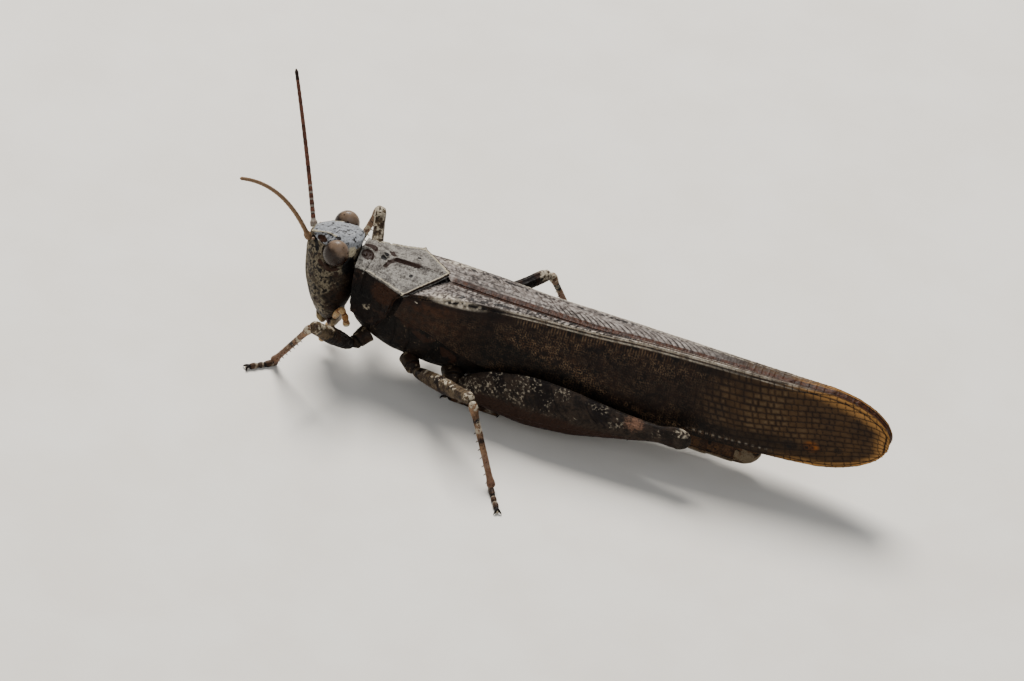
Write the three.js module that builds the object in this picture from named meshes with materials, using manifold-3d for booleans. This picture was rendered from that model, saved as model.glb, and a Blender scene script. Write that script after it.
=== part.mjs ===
// Band-winged grasshopper, an adult male at rest with folded wings, life size.
// Millimetres. +X runs towards the tail, +Y to the animal's right and +Z up from the ground.
// Lengths along X are measured from the hind point of the pronotum until the last lines,
// which move the whole animal so that the middle of its box stands over the origin.

import * as THREE from 'three';
import { mergeVertices } from 'three/addons/utils/BufferGeometryUtils.js';
import Module from 'manifold-3d';

const wasm = await Module();
wasm.setup();

// ---- driving dimensions ----

const GAP = 0.06; // clear space between neighbouring pieces
const WING_THICKNESS = 0.5;
const PRONOTUM_THICKNESS = 0.45;
const WING_ROOT_CLEAR = 0.26; // from the pronotum's rear margin to the wings behind it
const LIMB_HALF = 0.26; // thinnest half thickness of a leg or feeler
const BOX_CENTRE_X = 7.982; // middle of the whole animal, behind the pronotum's hind point
const LEFT = -1;
const RIGHT = 1;

const PRONOTUM_FRONT = -5.7;
const TEGMEN_END = 29.15;
const EYE_CENTRE = new THREE.Vector3(-7.11, 1.6, 8.6);
const EYE_STAGGER = 0.11; // the head is turned a little, so the left eye lies further back
const EYE_HALF = new THREE.Vector3(0.8, 0.62, 0.96);
const EYE_TILT = 0.22; // radians, the top of the eye leans back

// Head, in level slices: height, foremost and rearmost X, half width, and how much narrower the
// front of the slice is than its middle.
const HEAD = [
  { at: 3.15, front: -7.8, back: -6.45, half: 1.2, narrowing: 0.25 },
  { at: 3.75, front: -8.15, back: -6.1, half: 1.65, narrowing: 0.25 },
  { at: 4.7, front: -8.58, back: -5.84, half: 1.98, narrowing: 0.25 },
  { at: 5.8, front: -8.88, back: -5.8, half: 2.06, narrowing: 0.25 },
  { at: 7.0, front: -9.02, back: -5.78, half: 1.96, narrowing: 0.3 },
  { at: 7.9, front: -9.1, back: -5.78, half: 1.7, narrowing: 0.42 },
  { at: 8.4, front: -9.1, back: -5.78, half: 1.5, narrowing: 0.5 },
  { at: 8.8, front: -8.95, back: -5.76, half: 1.3, narrowing: 0.5 },
  { at: 9.15, front: -8.55, back: -5.8, half: 1.02, narrowing: 0.45 },
  { at: 9.38, front: -7.95, back: -6.15, half: 0.6, narrowing: 0.35 },
];

// Pronotum, along X: height and half width of its shoulder, height of its midline and of its
// lower margin, and the half width there.
const PRONOTUM = [
  { at: -5.85, crest: 8.4, shoulder: 8.02, half: 1.52, low: 5.3, lowHalf: 2.0 },
  { at: -4.9, crest: 8.36, shoulder: 8.0, half: 1.64, low: 4.8, lowHalf: 2.15 },
  { at: -4.0, crest: 8.3, shoulder: 7.87, half: 1.9, low: 4.6, lowHalf: 2.3 },
  { at: -3.2, crest: 8.28, shoulder: 7.78, half: 2.18, low: 4.75, lowHalf: 2.42 },
  { at: -2.15, crest: 8.28, shoulder: 7.7, half: 2.55, low: 5.3, lowHalf: 2.5 },
  { at: 0.1, crest: 8.34, shoulder: 7.7, half: 2.65, low: 5.8, lowHalf: 2.5 },
];
const SHOULDER_SHARE = 0.42; // how far round the half section the shoulder lies

// Rear margin of the pronotum, round the half section from the midline: X.
const PRONOTUM_REAR = [
  { at: 0.0, x: 0.08 },
  { at: 0.06, x: -0.22 },
  { at: SHOULDER_SHARE, x: -2.15 },
  { at: 0.58, x: -2.8 },
  { at: 0.8, x: -3.05 },
  { at: 1.0, x: -3.6 },
];

// The raised midline keel: a lobe, a notch, a lobe, the main furrow, then a long low keel.
const KEEL = [
  { at: -5.85, rise: 0.04 },
  { at: -5.3, rise: 0.2 },
  { at: -4.85, rise: 0.02 },
  { at: -4.45, rise: 0.18 },
  { at: -4.0, rise: -0.12 },
  { at: -3.4, rise: 0.2 },
  { at: -1.8, rise: 0.12 },
  { at: 0.1, rise: 0.03 },
];

// Thorax below the pronotum and wing bases.
const THORAX = [
  { at: -5.7, half: 1.0, high: 6.6, low: 4.2 },
  { at: -5.0, half: 1.5, high: 7.0, low: 3.2 },
  { at: -3.6, half: 1.75, high: 7.15, low: 2.4 },
  { at: -2.2, half: 2.05, high: 7.1, low: 2.05 },
  { at: 0.5, half: 2.2, high: 6.95, low: 1.85 },
  { at: 3.0, half: 2.05, high: 6.6, low: 1.9 },
  { at: 4.5, half: 1.75, high: 6.3, low: 2.1 },
];

// Abdomen, to the base of its last lobe.
const ABDOMEN = [
  { at: 4.56, half: 1.62, high: 6.2, low: 2.1 },
  { at: 9.0, half: 1.66, high: 5.6, low: 1.7 },
  { at: 13.0, half: 1.58, high: 4.85, low: 1.25 },
  { at: 17.0, half: 1.38, high: 3.95, low: 0.88 },
  { at: 19.9, half: 1.08, high: 3.25, low: 0.78 },
];
const ABDOMEN_SEGMENTS = 9;

// Folded forewing, along X: the fold edge's half width and height, the lower edge's half width
// and height, and how far left of the middle the right wing's inner edge lies.
const TEGMEN = [
  { at: -3.0, fold: 2.35, top: 7.5, lowHalf: 2.35, low: 5.9, suture: 0.0 },
  { at: -0.4, fold: 2.06, top: 7.8, lowHalf: 2.42, low: 5.3, suture: 0.0 },
  { at: 1.5, fold: 1.76, top: 7.95, lowHalf: 2.42, low: 4.5, suture: 0.3 },
  { at: 4.0, fold: 1.5, top: 8.0, lowHalf: 2.42, low: 3.85, suture: 0.45 },
  { at: 10.0, fold: 1.1, top: 8.02, lowHalf: 2.36, low: 3.55, suture: 0.48 },
  { at: 13.4, fold: 0.86, top: 8.08, lowHalf: 2.26, low: 3.42, suture: 0.28 },
  { at: 17.5, fold: 0.68, top: 8.06, lowHalf: 2.1, low: 3.25, suture: 0.12 },
  { at: 22.0, fold: 0.6, top: 8.05, lowHalf: 1.6, low: 3.05, suture: 0.04 },
  { at: 25.0, fold: 0.57, top: 8.06, lowHalf: 1.2, low: 2.92, suture: 0.02 },
  { at: 29.2, fold: 0.56, top: 8.05, lowHalf: 0.66, low: 3.0, suture: 0.02 },
];
const TEGMEN_TIP = { start: 24.6, height: 5.5 }; // where the end starts to round, and its level
const TEGMEN_RIM_SHARE = 0.66; // share of the section taken by the side field

const HINDWING_START = 4.0;
const HINDWING_END = 23.0;

// Legs: the joint places of each, as X, distance out from the body's middle plane, and Z.
const LEGS = {
  front_left: {
    side: LEFT,
    root: [-4.2, 1.15, 2.95],
    hip: [-4.9, 2.1, 2.4],
    knee: [-6.85, 6.1, 6.08],
    ankle: [-9.3, 3.3, 0.45],
    toe: [-10.85, 4.5, 0],
  },
  front_right: {
    side: RIGHT,
    root: [-4.2, 1.15, 2.95],
    hip: [-4.9, 2.1, 2.4],
    knee: [-6.1, 6.45, 6.9],
    ankle: [-7.9, 8.25, 0.45],
    toe: [-9.0, 9.85, 0],
  },
  mid_left: {
    side: LEFT,
    root: [-1.3, 1.5, 2.3],
    hip: [-0.6, 2.6, 2.25],
    knee: [3.98, 7.2, 5.03],
    ankle: [6.5, 9.0, 0.45],
    toe: [7.55, 11.1, 0],
  },
  mid_right: {
    side: RIGHT,
    root: [-1.3, 1.5, 2.3],
    hip: [-0.6, 2.6, 2.25],
    knee: [5.2, 7.1, 5.15],
    ankle: [7.0, 9.0, 0.45],
    toe: [7.75, 11.1, 0],
  },
  hind_left: {
    side: LEFT,
    root: [1.6, 1.4, 2.3],
    hip: [2.0, 2.75, 2.25],
    knee: [17.4, 3.35, 3.75],
    ankle: [4.6, 1.75, 0.6],
    toe: [1.2, 1.5, 0],
  },
  hind_right: {
    side: RIGHT,
    root: [1.6, 1.4, 2.3],
    hip: [2.0, 2.75, 2.25],
    knee: [17.4, 3.35, 3.75],
    ankle: [4.6, 1.75, 0.6],
    toe: [1.2, 1.5, 0],
  },
};

// Hind thigh, along its length: half height above and below its axis, half width.
const HIND_FEMUR = [
  { at: 0.0, high: 0.5, low: 0.5, half: 0.36 },
  { at: 0.06, high: 1.1, low: 0.85, half: 0.52 },
  { at: 0.16, high: 1.65, low: 1.3, half: 0.66 },
  { at: 0.32, high: 1.9, low: 1.75, half: 0.72 },
  { at: 0.46, high: 1.68, low: 1.7, half: 0.68 },
  { at: 0.62, high: 1.15, low: 1.3, half: 0.58 },
  { at: 0.78, high: 0.72, low: 0.85, half: 0.46 },
  { at: 0.87, high: 0.6, low: 0.66, half: 0.4 },
  { at: 0.94, high: 0.78, low: 0.82, half: 0.46 },
  { at: 1.0, high: 0.5, low: 0.45, half: 0.32 },
];

// Front and middle thighs.
const THIGH = [
  { at: 0.0, high: 0.28, low: 0.28, half: 0.28 },
  { at: 0.12, high: 0.4, low: 0.42, half: 0.36 },
  { at: 0.5, high: 0.52, low: 0.54, half: 0.42 },
  { at: 0.82, high: 0.4, low: 0.42, half: 0.36 },
  { at: 0.93, high: 0.44, low: 0.4, half: 0.38 },
  { at: 1.0, high: 0.28, low: 0.26, half: 0.27 },
];

// Front and middle shins.
const SHIN = [
  { at: 0.0, high: 0.27, low: 0.27, half: 0.26 },
  { at: 0.08, high: 0.33, low: 0.33, half: 0.3 },
  { at: 0.25, high: 0.28, low: 0.28, half: 0.26 },
  { at: 0.85, high: 0.27, low: 0.27, half: 0.26 },
  { at: 0.96, high: 0.3, low: 0.3, half: 0.28 },
  { at: 1.0, high: 0.26, low: 0.26, half: 0.26 },
];

// ---- shaping helpers ----

function point(x, y, z) {
  return new THREE.Vector3(x, y, z);
}

function mix(a, b, share) {
  return a + (b - a) * share;
}

// Slope of one field at a station, level at every crest and dip.
function slopeAt(stations, index, field) {
  const here = stations[index];
  const before = stations[index - 1];
  const after = stations[index + 1];
  const rise = (a, b) => (b[field] - a[field]) / (b.at - a.at);
  if (!before) {
    return rise(here, after);
  }
  if (!after) {
    return rise(before, here);
  }
  const left = rise(before, here);
  const right = rise(here, after);
  if (left * right <= 0) {
    return 0;
  }
  return (2 * left * right) / (left + right);
}

// One field of a table of stations, eased smoothly from each station to the next.
function along(stations, at, field) {
  const last = stations.length - 1;
  if (at <= stations[0].at) {
    return stations[0][field];
  }
  if (at >= stations[last].at) {
    return stations[last][field];
  }
  const next = stations.findIndex((station) => station.at > at);
  const a = stations[next - 1];
  const b = stations[next];
  const span = b.at - a.at;
  const share = (at - a.at) / span;
  const square = share * share;
  const cube = square * share;
  const startWeight = 2 * cube - 3 * square + 1;
  const slopeWeight = cube - 2 * square + share;
  const endSlopeWeight = cube - square;
  return (
    startWeight * a[field] +
    (1 - startWeight) * b[field] +
    slopeWeight * span * slopeAt(stations, next - 1, field) +
    endSlopeWeight * span * slopeAt(stations, next, field)
  );
}

// Shares from 0 to 1, closer together near both ends, so that ends can be rounded.
function easedShares(steps) {
  return Array.from({ length: steps + 1 }, (_, i) => (1 - Math.cos((Math.PI * i) / steps)) / 2);
}

function evenShares(steps) {
  return Array.from({ length: steps + 1 }, (_, i) => i / steps);
}

// An oval ring round a centre. Power 2 is an ellipse, more is boxier, less is keeled.
function ovalRing(centre, across, up, { half, high, low, power = 2 }, sides) {
  const ring = [];
  for (let i = 0; i < sides; i += 1) {
    const angle = (2 * Math.PI * i) / sides;
    const c = Math.cos(angle);
    const s = Math.sin(angle);
    const out = half * Math.sign(c) * Math.abs(c) ** (2 / power);
    const lift = (s > 0 ? high : low) * Math.sign(s) * Math.abs(s) ** (2 / power);
    ring.push(centre.clone().addScaledVector(across, out).addScaledVector(up, lift));
  }
  return ring;
}

function volumeOf(points, faces) {
  return faces.reduce((sum, [a, b, c]) => {
    const normal = points[b].clone().cross(points[c]);
    return sum + points[a].dot(normal);
  }, 0);
}

// A closed geometry from points and triangles, turned so that its faces point out.
function closedGeometry(points, faces) {
  const outward = volumeOf(points, faces) > 0;
  const index = faces.flatMap(([a, b, c]) => (outward ? [a, b, c] : [a, c, b]));
  const geometry = new THREE.BufferGeometry();
  const flat = points.flatMap((p) => p.toArray());
  geometry.setAttribute('position', new THREE.Float32BufferAttribute(flat, 3));
  geometry.setIndex(index);
  return geometry;
}

// Quads between two rows of points, as triangles.
function bridge(first, second, count, wraps) {
  const faces = [];
  const edges = wraps ? count : count - 1;
  for (let i = 0; i < edges; i += 1) {
    const j = (i + 1) % count;
    faces.push([first + i, first + j, second + j]);
    faces.push([first + i, second + j, second + i]);
  }
  return faces;
}

// A skin through closed rings, with a fan over each end.
function skin(rings) {
  const count = rings[0].length;
  const points = rings.flat();
  const faces = rings.slice(1).flatMap((_, i) => bridge(i * count, (i + 1) * count, count, true));
  const closeEnd = (ring, start, turned) => {
    const middle = ring.reduce((sum, p) => sum.add(p), point(0, 0, 0)).divideScalar(count);
    const hub = points.push(middle) - 1;
    for (let i = 0; i < count; i += 1) {
      const a = start + i;
      const b = start + ((i + 1) % count);
      faces.push(turned ? [hub, a, b] : [hub, b, a]);
    }
  };
  closeEnd(rings[0], 0, false);
  closeEnd(rings[rings.length - 1], (rings.length - 1) * count, true);
  return closedGeometry(points, faces);
}

// A curved plate: rows of points over its outer face and, behind them, over its inner face.
function plate(outerRows, innerRows) {
  const count = outerRows[0].length;
  const rows = outerRows.length;
  const points = [...outerRows.flat(), ...innerRows.flat()];
  const inner = rows * count;
  const faces = [];
  for (let row = 0; row + 1 < rows; row += 1) {
    const here = row * count;
    const next = here + count;
    faces.push(...bridge(here, next, count, false));
    faces.push(...bridge(inner + next, inner + here, count, false));
    faces.push([here, next, inner + next], [here, inner + next, inner + here]);
    const edge = here + count - 1;
    const nextEdge = next + count - 1;
    faces.push([nextEdge, edge, inner + edge], [nextEdge, inner + edge, inner + nextEdge]);
  }
  faces.push(...bridge(inner, 0, count, false));
  const last = (rows - 1) * count;
  faces.push(...bridge(last, inner + last, count, false));
  return closedGeometry(points, faces);
}

// A limb swept along a curve, its section standing up along `up`.
function sweep(curve, shares, sides, up, section) {
  const rings = shares.map((share) => {
    const centre = curve.getPointAt(share);
    const forward = curve.getTangentAt(share);
    const across = forward.clone().cross(up).normalize();
    const lift = across.clone().cross(forward);
    return ovalRing(centre, across, lift, section(share), sides);
  });
  return skin(rings);
}

function stationSection(stations, power, grow = 0) {
  return (share) => ({
    half: along(stations, share, 'half') + grow,
    high: along(stations, share, 'high') + grow,
    low: along(stations, share, 'low') + grow,
    power,
  });
}

// Rounds the two ends of a limb of even radius.
function roundedRadius(radius, length) {
  return (share) => {
    const fromEnd = Math.min(share, 1 - share) * length;
    const inset = Math.max(0, 1 - fromEnd / radius);
    const size = radius * Math.max(0.35, Math.sqrt(1 - inset * inset));
    return { half: size, high: size, low: size };
  };
}

function solidOf(geometry) {
  const bare = geometry.clone();
  bare.deleteAttribute('normal');
  bare.deleteAttribute('uv');
  const merged = mergeVertices(bare, 1e-5);
  return new wasm.Manifold(
    new wasm.Mesh({
      numProp: 3,
      vertProperties: new Float32Array(merged.attributes.position.array),
      triVerts: new Uint32Array(merged.index.array),
    }),
  );
}

function geometryOf(solid) {
  const mesh = solid.getMesh();
  const geometry = new THREE.BufferGeometry();
  geometry.setAttribute('position', new THREE.Float32BufferAttribute(mesh.vertProperties, 3));
  geometry.setIndex(Array.from(mesh.triVerts));
  return geometry;
}

function join(geometries) {
  const [first, ...rest] = geometries.map(solidOf);
  return geometryOf(rest.reduce((sum, piece) => sum.add(piece), first));
}

function carve(geometry, tools) {
  return geometryOf(tools.map(solidOf).reduce((rest, tool) => rest.subtract(tool), solidOf(geometry)));
}

// ---- head ----

function headCase() {
  const sides = 18;
  const bottom = HEAD[0].at;
  const top = HEAD[HEAD.length - 1].at;
  const rings = evenShares(10).map((share) => {
    const z = mix(bottom, top, share);
    const front = along(HEAD, z, 'front');
    const back = along(HEAD, z, 'back');
    const half = along(HEAD, z, 'half');
    const narrowing = along(HEAD, z, 'narrowing');
    const middle = (front + back) / 2;
    const reach = (back - front) / 2;
    const size = { half: reach, high: half, low: half, power: 2.5 };
    const ring = ovalRing(point(middle, 0, z), point(1, 0, 0), point(0, 1, 0), size, sides);
    return ring.map((p) => p.setY(p.y * (1 - narrowing * Math.max(0, (middle - p.x) / reach))));
  });
  return skin(rings);
}

function eyeBall(side, grow) {
  const geometry = new THREE.SphereGeometry(1, 12, 9);
  geometry.scale(EYE_HALF.x + grow, EYE_HALF.y + grow, EYE_HALF.z + grow);
  geometry.rotateY(EYE_TILT);
  geometry.translate(EYE_CENTRE.x - EYE_STAGGER * side, EYE_CENTRE.y * side, EYE_CENTRE.z);
  return geometry;
}

function feelerCurve(side) {
  const base = point(-9.05, 0.6 * side, 8.42);
  const bend = side === LEFT ? point(-10.8, 2.6 * side, 13.6) : point(-10.8, 3.2 * side, 12.0);
  const tip = point(-12.95, 6.15 * side, 15.65);
  return new THREE.QuadraticBezierCurve3(base, bend, tip);
}

function feeler(side, grow) {
  const curve = feelerCurve(side);
  const thick = (share) => {
    const size = LIMB_HALF + grow + 0.07 * Math.max(0, 1 - share / 0.06);
    return { half: size, high: size, low: size };
  };
  return sweep(curve, evenShares(10), 8, point(1, 0, 0), thick);
}

// The plate that hangs below the face.
function upperLip() {
  const rings = [
    { z: 3.08, front: -7.78, back: -7.2, half: 0.95 },
    { z: 2.75, front: -7.72, back: -7.16, half: 0.98 },
    { z: 2.4, front: -7.5, back: -7.06, half: 0.78 },
    { z: 2.25, front: -7.3, back: -7.08, half: 0.5 },
  ].map(({ z, front, back, half }) => {
    const size = { half: (back - front) / 2, high: half, low: half, power: 2.8 };
    return ovalRing(point((front + back) / 2, 0, z), point(1, 0, 0), point(0, 1, 0), size, 14);
  });
  return skin(rings);
}

// The biting jaws and the lower lip behind the upper lip, as one closed mass.
function jaws() {
  const rings = [
    { z: 3.08, front: -7.1, back: -6.2, half: 1.2 },
    { z: 2.75, front: -7.08, back: -6.15, half: 1.18 },
    { z: 2.4, front: -6.98, back: -6.25, half: 0.9 },
    { z: 2.2, front: -6.85, back: -6.4, half: 0.5 },
  ].map(({ z, front, back, half }) => {
    const size = { half: (back - front) / 2, high: half, low: half, power: 2.6 };
    return ovalRing(point((front + back) / 2, 0, z), point(1, 0, 0), point(0, 1, 0), size, 14);
  });
  return skin(rings);
}

function palp(side, joints) {
  const curve = new THREE.CatmullRomCurve3(joints.map(([x, y, z]) => point(x, y * side, z)));
  return sweep(curve, easedShares(6), 6, point(0, 1, 0), roundedRadius(0.25, 2.2));
}

const CHEEK_PALP = [
  [-6.35, 1.52, 3.6],
  [-5.95, 1.95, 4.7],
  [-5.6, 2.0, 4.2],
  [-5.45, 1.9, 3.6],
];
const LIP_PALP = [
  [-6.48, 0.76, 2.27],
  [-6.5, 0.98, 1.8],
  [-6.95, 0.8, 1.35],
  [-7.1, 0.65, 1.0],
];

// ---- pronotum ----

// Half width and height of the pronotum's outer face at X, round the half section.
function pronotumSection(x, share) {
  const shoulder = { half: along(PRONOTUM, x, 'half'), z: along(PRONOTUM, x, 'shoulder') };
  if (share <= SHOULDER_SHARE) {
    const out = share / SHOULDER_SHARE;
    const crest = along(PRONOTUM, x, 'crest');
    const keel = along(KEEL, x, 'rise') * Math.max(0, 1 - out / 0.14);
    return { y: shoulder.half * out, z: mix(crest, shoulder.z, out ** 1.25) + keel };
  }
  const down = (share - SHOULDER_SHARE) / (1 - SHOULDER_SHARE);
  const bulge = 0.12 * Math.sin(Math.PI * down);
  return {
    y: mix(shoulder.half, along(PRONOTUM, x, 'lowHalf'), down) + bulge,
    z: mix(shoulder.z, along(PRONOTUM, x, 'low'), down ** 1.1),
  };
}

function pronotumFront(share) {
  return PRONOTUM_FRONT + 0.35 * share ** 3;
}

// A point of the pronotum, `depth` below its outer face, `rowShare` of the way back.
function pronotumPoint(rowShare, around, depth) {
  const share = Math.abs(around);
  const x = mix(pronotumFront(share), along(PRONOTUM_REAR, share, 'x'), rowShare);
  const step = 0.02;
  const here = pronotumSection(x, share);
  const a = pronotumSection(x, Math.max(0, share - step));
  const b = pronotumSection(x, Math.min(1, share + step));
  const tangent = new THREE.Vector2(b.y - a.y, b.z - a.z).normalize();
  const isCrest = share < step;
  const inward = isCrest ? new THREE.Vector2(0, -1) : new THREE.Vector2(tangent.y, -tangent.x);
  const y = here.y + inward.x * depth;
  return point(x, y * Math.sign(around || 1), here.z + inward.y * depth);
}

const PRONOTUM_AROUND = [0, 0.06, 0.18, 0.32, SHOULDER_SHARE - 0.02, SHOULDER_SHARE + 0.04, 0.6, 0.8, 1];

function pronotum(grow = 0) {
  const half = PRONOTUM_AROUND.slice(1);
  const around = [...half.map((share) => -share).reverse(), 0, ...half];
  const rows = (depth) =>
    evenShares(12).map((share) => around.map((value) => pronotumPoint(share, value, depth)));
  return plate(rows(-grow), rows(PRONOTUM_THICKNESS + grow));
}

// ---- trunk ----

function trunkRing(stations, x, sides, power, swell = 1) {
  const high = along(stations, x, 'high');
  const low = along(stations, x, 'low');
  const half = along(stations, x, 'half') * swell;
  const level = mix(low, high, 0.42);
  const size = { half, high: (high - level) * swell, low: (level - low) * swell, power };
  return ovalRing(point(x, 0, level), point(0, 1, 0), point(0, 0, 1), size, sides);
}

function thorax(grow = 0) {
  const first = THORAX[0].at;
  const last = THORAX[THORAX.length - 1].at;
  const rings = evenShares(10).map((share) => {
    const x = mix(first - grow, last + grow, share);
    return trunkRing(THORAX, x, 16, 2.3, 1 + grow / 2);
  });
  return skin(rings);
}

// Each segment of the abdomen swells towards its hind margin and steps in behind it.
function abdomen() {
  const first = ABDOMEN[0].at;
  const length = ABDOMEN[ABDOMEN.length - 1].at - first;
  const rings = [];
  for (let i = 0; i < ABDOMEN_SEGMENTS; i += 1) {
    const start = first + (length * i) / ABDOMEN_SEGMENTS;
    const end = first + (length * (i + 0.94)) / ABDOMEN_SEGMENTS;
    rings.push(trunkRing(ABDOMEN, start, 16, 2, 0.955));
    rings.push(trunkRing(ABDOMEN, end, 16, 2, 1));
  }
  return skin(rings);
}

// The upturned lobe under the tip, with the small plate above it.
function abdomenTip() {
  const start = ABDOMEN[ABDOMEN.length - 1].at + GAP;
  const rings = [
    { x: start - 0.09, half: 0.98, high: 3.05, low: 0.86 },
    { x: 20.4, half: 0.92, high: 2.9, low: 0.84 },
    { x: 20.95, half: 0.74, high: 2.6, low: 1.02 },
    { x: 21.3, half: 0.45, high: 2.3, low: 1.32 },
    { x: 21.45, half: 0.2, high: 2.05, low: 1.58 },
  ].map(({ x, half, high, low }) => {
    const level = (high + low) / 2;
    const size = { half, high: high - level, low: level - low, power: 2.1 };
    return ovalRing(point(x, 0, level), point(0, 1, 0), point(0, 0, 1), size, 14);
  });
  return skin(rings);
}

// The small finger on each side above the last lobe.
function cercus(side, grow) {
  const curve = new THREE.LineCurve3(point(20.15, 0.6 * side, 2.85), point(21.35, 0.72 * side, 3.15));
  const size = (share) => {
    const half = mix(0.27, 0.16, share) + grow;
    return { half, high: half, low: half };
  };
  return sweep(curve, evenShares(3), 8, point(0, 0, 1), size);
}

// ---- wings ----

// Height share left at X, where the wing's end is rounded off.
function tipShare(x) {
  const past = (x - TEGMEN_TIP.start) / (TEGMEN_END + 0.05 - TEGMEN_TIP.start);
  return past <= 0 ? 1 : Math.sqrt(Math.max(0, 1 - past * past));
}

function roundedHeight(x, z) {
  return mix(TEGMEN_TIP.height, z, tipShare(x));
}

// Outer line of a folded forewing at X: from its lower edge up its side and over the back.
function tegmenSection(x, around, side) {
  const fold = along(TEGMEN, x, 'fold');
  const top = along(TEGMEN, x, 'top');
  const low = along(TEGMEN, x, 'low');
  if (around <= TEGMEN_RIM_SHARE) {
    const up = around / TEGMEN_RIM_SHARE;
    const bulge = 0.2 * Math.sin(Math.PI * up) * tipShare(x);
    const y = mix(along(TEGMEN, x, 'lowHalf'), fold, up) + bulge;
    return { y, z: roundedHeight(x, mix(low, top, up)) };
  }
  const over = (around - TEGMEN_RIM_SHARE) / (1 - TEGMEN_RIM_SHARE);
  const suture = along(TEGMEN, x, 'suture');
  const inner = side === RIGHT ? -suture : suture + GAP;
  const arch = 0.1 * Math.sin(Math.PI * over) * Math.min(1, fold);
  return { y: mix(fold, inner, over), z: roundedHeight(x, top + arch) };
}

function tegmen(side, grow = 0) {
  const across = [0, 0.12, 0.28, 0.45, 0.6, 0.65, 0.7, 0.82, 1];
  const shares = [0, 0.04, 0.09, 0.17, 0.3, 0.45, 0.6, 0.74, 0.85, 0.91, 0.95, 0.98, 1];
  const rows = (depth) =>
    shares.map((share) => across.map((around) => tegmenPoint(share, around, depth, side)));
  return plate(rows(-grow), rows(WING_THICKNESS + grow));
}

// The wing starts just behind the rear margin of the pronotum, which is pointed over the back.
function wingRoot(around, side) {
  if (around <= TEGMEN_RIM_SHARE) {
    const down = 1 - around / TEGMEN_RIM_SHARE;
    return WING_ROOT_CLEAR - 2.2 - 0.5 * down;
  }
  const { y } = tegmenSection(-1, around, side);
  const share = (SHOULDER_SHARE * Math.abs(y)) / along(PRONOTUM, -2.15, 'half');
  return WING_ROOT_CLEAR + along(PRONOTUM_REAR, share, 'x');
}

// A point of a forewing, `depth` inside its outer face: sideways at its lower edge, straight down
// under the back, and both at the fold between.
function tegmenPoint(share, around, depth, side) {
  const x = mix(wingRoot(around, side), TEGMEN_END, share);
  const outer = tegmenSection(x, around, side);
  if (around <= TEGMEN_RIM_SHARE) {
    const up = around / TEGMEN_RIM_SHARE;
    return point(x, (outer.y - depth) * side, outer.z - depth * up);
  }
  const over = (around - TEGMEN_RIM_SHARE) / (1 - TEGMEN_RIM_SHARE);
  const inner = tegmenSection(x, 1, side).y;
  const fold = Math.max(along(TEGMEN, x, 'fold') - depth, inner + 0.03);
  return point(x, mix(fold, inner, over) * side, outer.z - depth);
}

// The hind wing, folded flat beside its fellow on the back of the abdomen.
function hindWing(side) {
  const rings = evenShares(6).map((share) => {
    const x = mix(HINDWING_START, HINDWING_END, share);
    const reach = along(TEGMEN, x, 'fold') - 0.32;
    const half = Math.max(0.12, (reach - GAP) / 2 - 0.1 * share);
    const centre = point(x, (GAP + half) * side, 6.85 - 0.1 * share);
    return ovalRing(centre, point(0, 1, 0), point(0, 0, 1), { half, high: 0.27, low: 0.27, power: 3 }, 8);
  });
  return skin(rings);
}

// ---- legs ----

function place([x, y, z], side) {
  return point(x, y * side, z);
}

function shortened(from, to, startGap, endGap) {
  const direction = to.clone().sub(from).normalize();
  const start = from.clone().addScaledVector(direction, startGap);
  const end = to.clone().addScaledVector(direction, -endGap);
  return new THREE.LineCurve3(start, end);
}

const UPRIGHT = point(0, 0, 1);

function coxa(leg, radius) {
  const curve = shortened(place(leg.root, leg.side), place(leg.hip, leg.side), 0, -0.1);
  const size = (share) => {
    const half = radius * mix(1, 0.72, share) * (share > 0.9 ? 0.75 : 1);
    return { half, high: half, low: half };
  };
  return sweep(curve, evenShares(3), 8, UPRIGHT, size);
}

function femur(leg, stations, power, shares, sides) {
  const curve = shortened(place(leg.hip, leg.side), place(leg.knee, leg.side), 0.2, 0);
  return sweep(curve, shares, sides, UPRIGHT, stationSection(stations, power));
}

function shinCurve(leg) {
  return shortened(place(leg.knee, leg.side), place(leg.ankle, leg.side), 0.12, 0);
}

function shin(leg, grow = 0) {
  return sweep(shinCurve(leg), easedShares(7), 8, point(1, 0, 0), stationSection(SHIN, 2, grow));
}

// One thorn of the hind shin, leaning towards the foot.
function thorn(base, outward, towardsFoot) {
  const tip = base.clone().addScaledVector(outward, 0.55).addScaledVector(towardsFoot, 0.25);
  const curve = new THREE.LineCurve3(base, tip);
  const size = (share) => {
    const half = mix(0.13, 0.04, share);
    return { half, high: half, low: half };
  };
  return sweep(curve, [0, 1], 4, towardsFoot, size);
}

const THORNS_PER_ROW = 6;

function hindShin(leg) {
  const curve = shinCurve(leg);
  const forward = curve.getTangentAt(0);
  const across = forward.clone().cross(UPRIGHT).normalize();
  const down = forward.clone().cross(across).normalize();
  const lower = down.z < 0 ? down : down.clone().negate();
  const thorns = [];
  for (let i = 0; i < THORNS_PER_ROW; i += 1) {
    const base = curve.getPointAt(mix(0.42, 0.94, i / (THORNS_PER_ROW - 1)));
    [-1, 1].forEach((row) => {
      const outward = across.clone().multiplyScalar(0.7 * row).addScaledVector(lower, 0.7).normalize();
      const root = base.clone().addScaledVector(outward, 0.12);
      thorns.push(thorn(root, outward, forward));
    });
  }
  return join([shin(leg), ...thorns]);
}

// Where a foot lies on the ground.
function footLine(leg) {
  const heel = place(leg.ankle, leg.side).setZ(0);
  const toe = place(leg.toe, leg.side).setZ(0);
  const forward = toe.clone().sub(heel).normalize();
  const across = forward.clone().cross(UPRIGHT).normalize();
  return { heel, toe, forward, across, length: toe.distanceTo(heel) };
}

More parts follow.
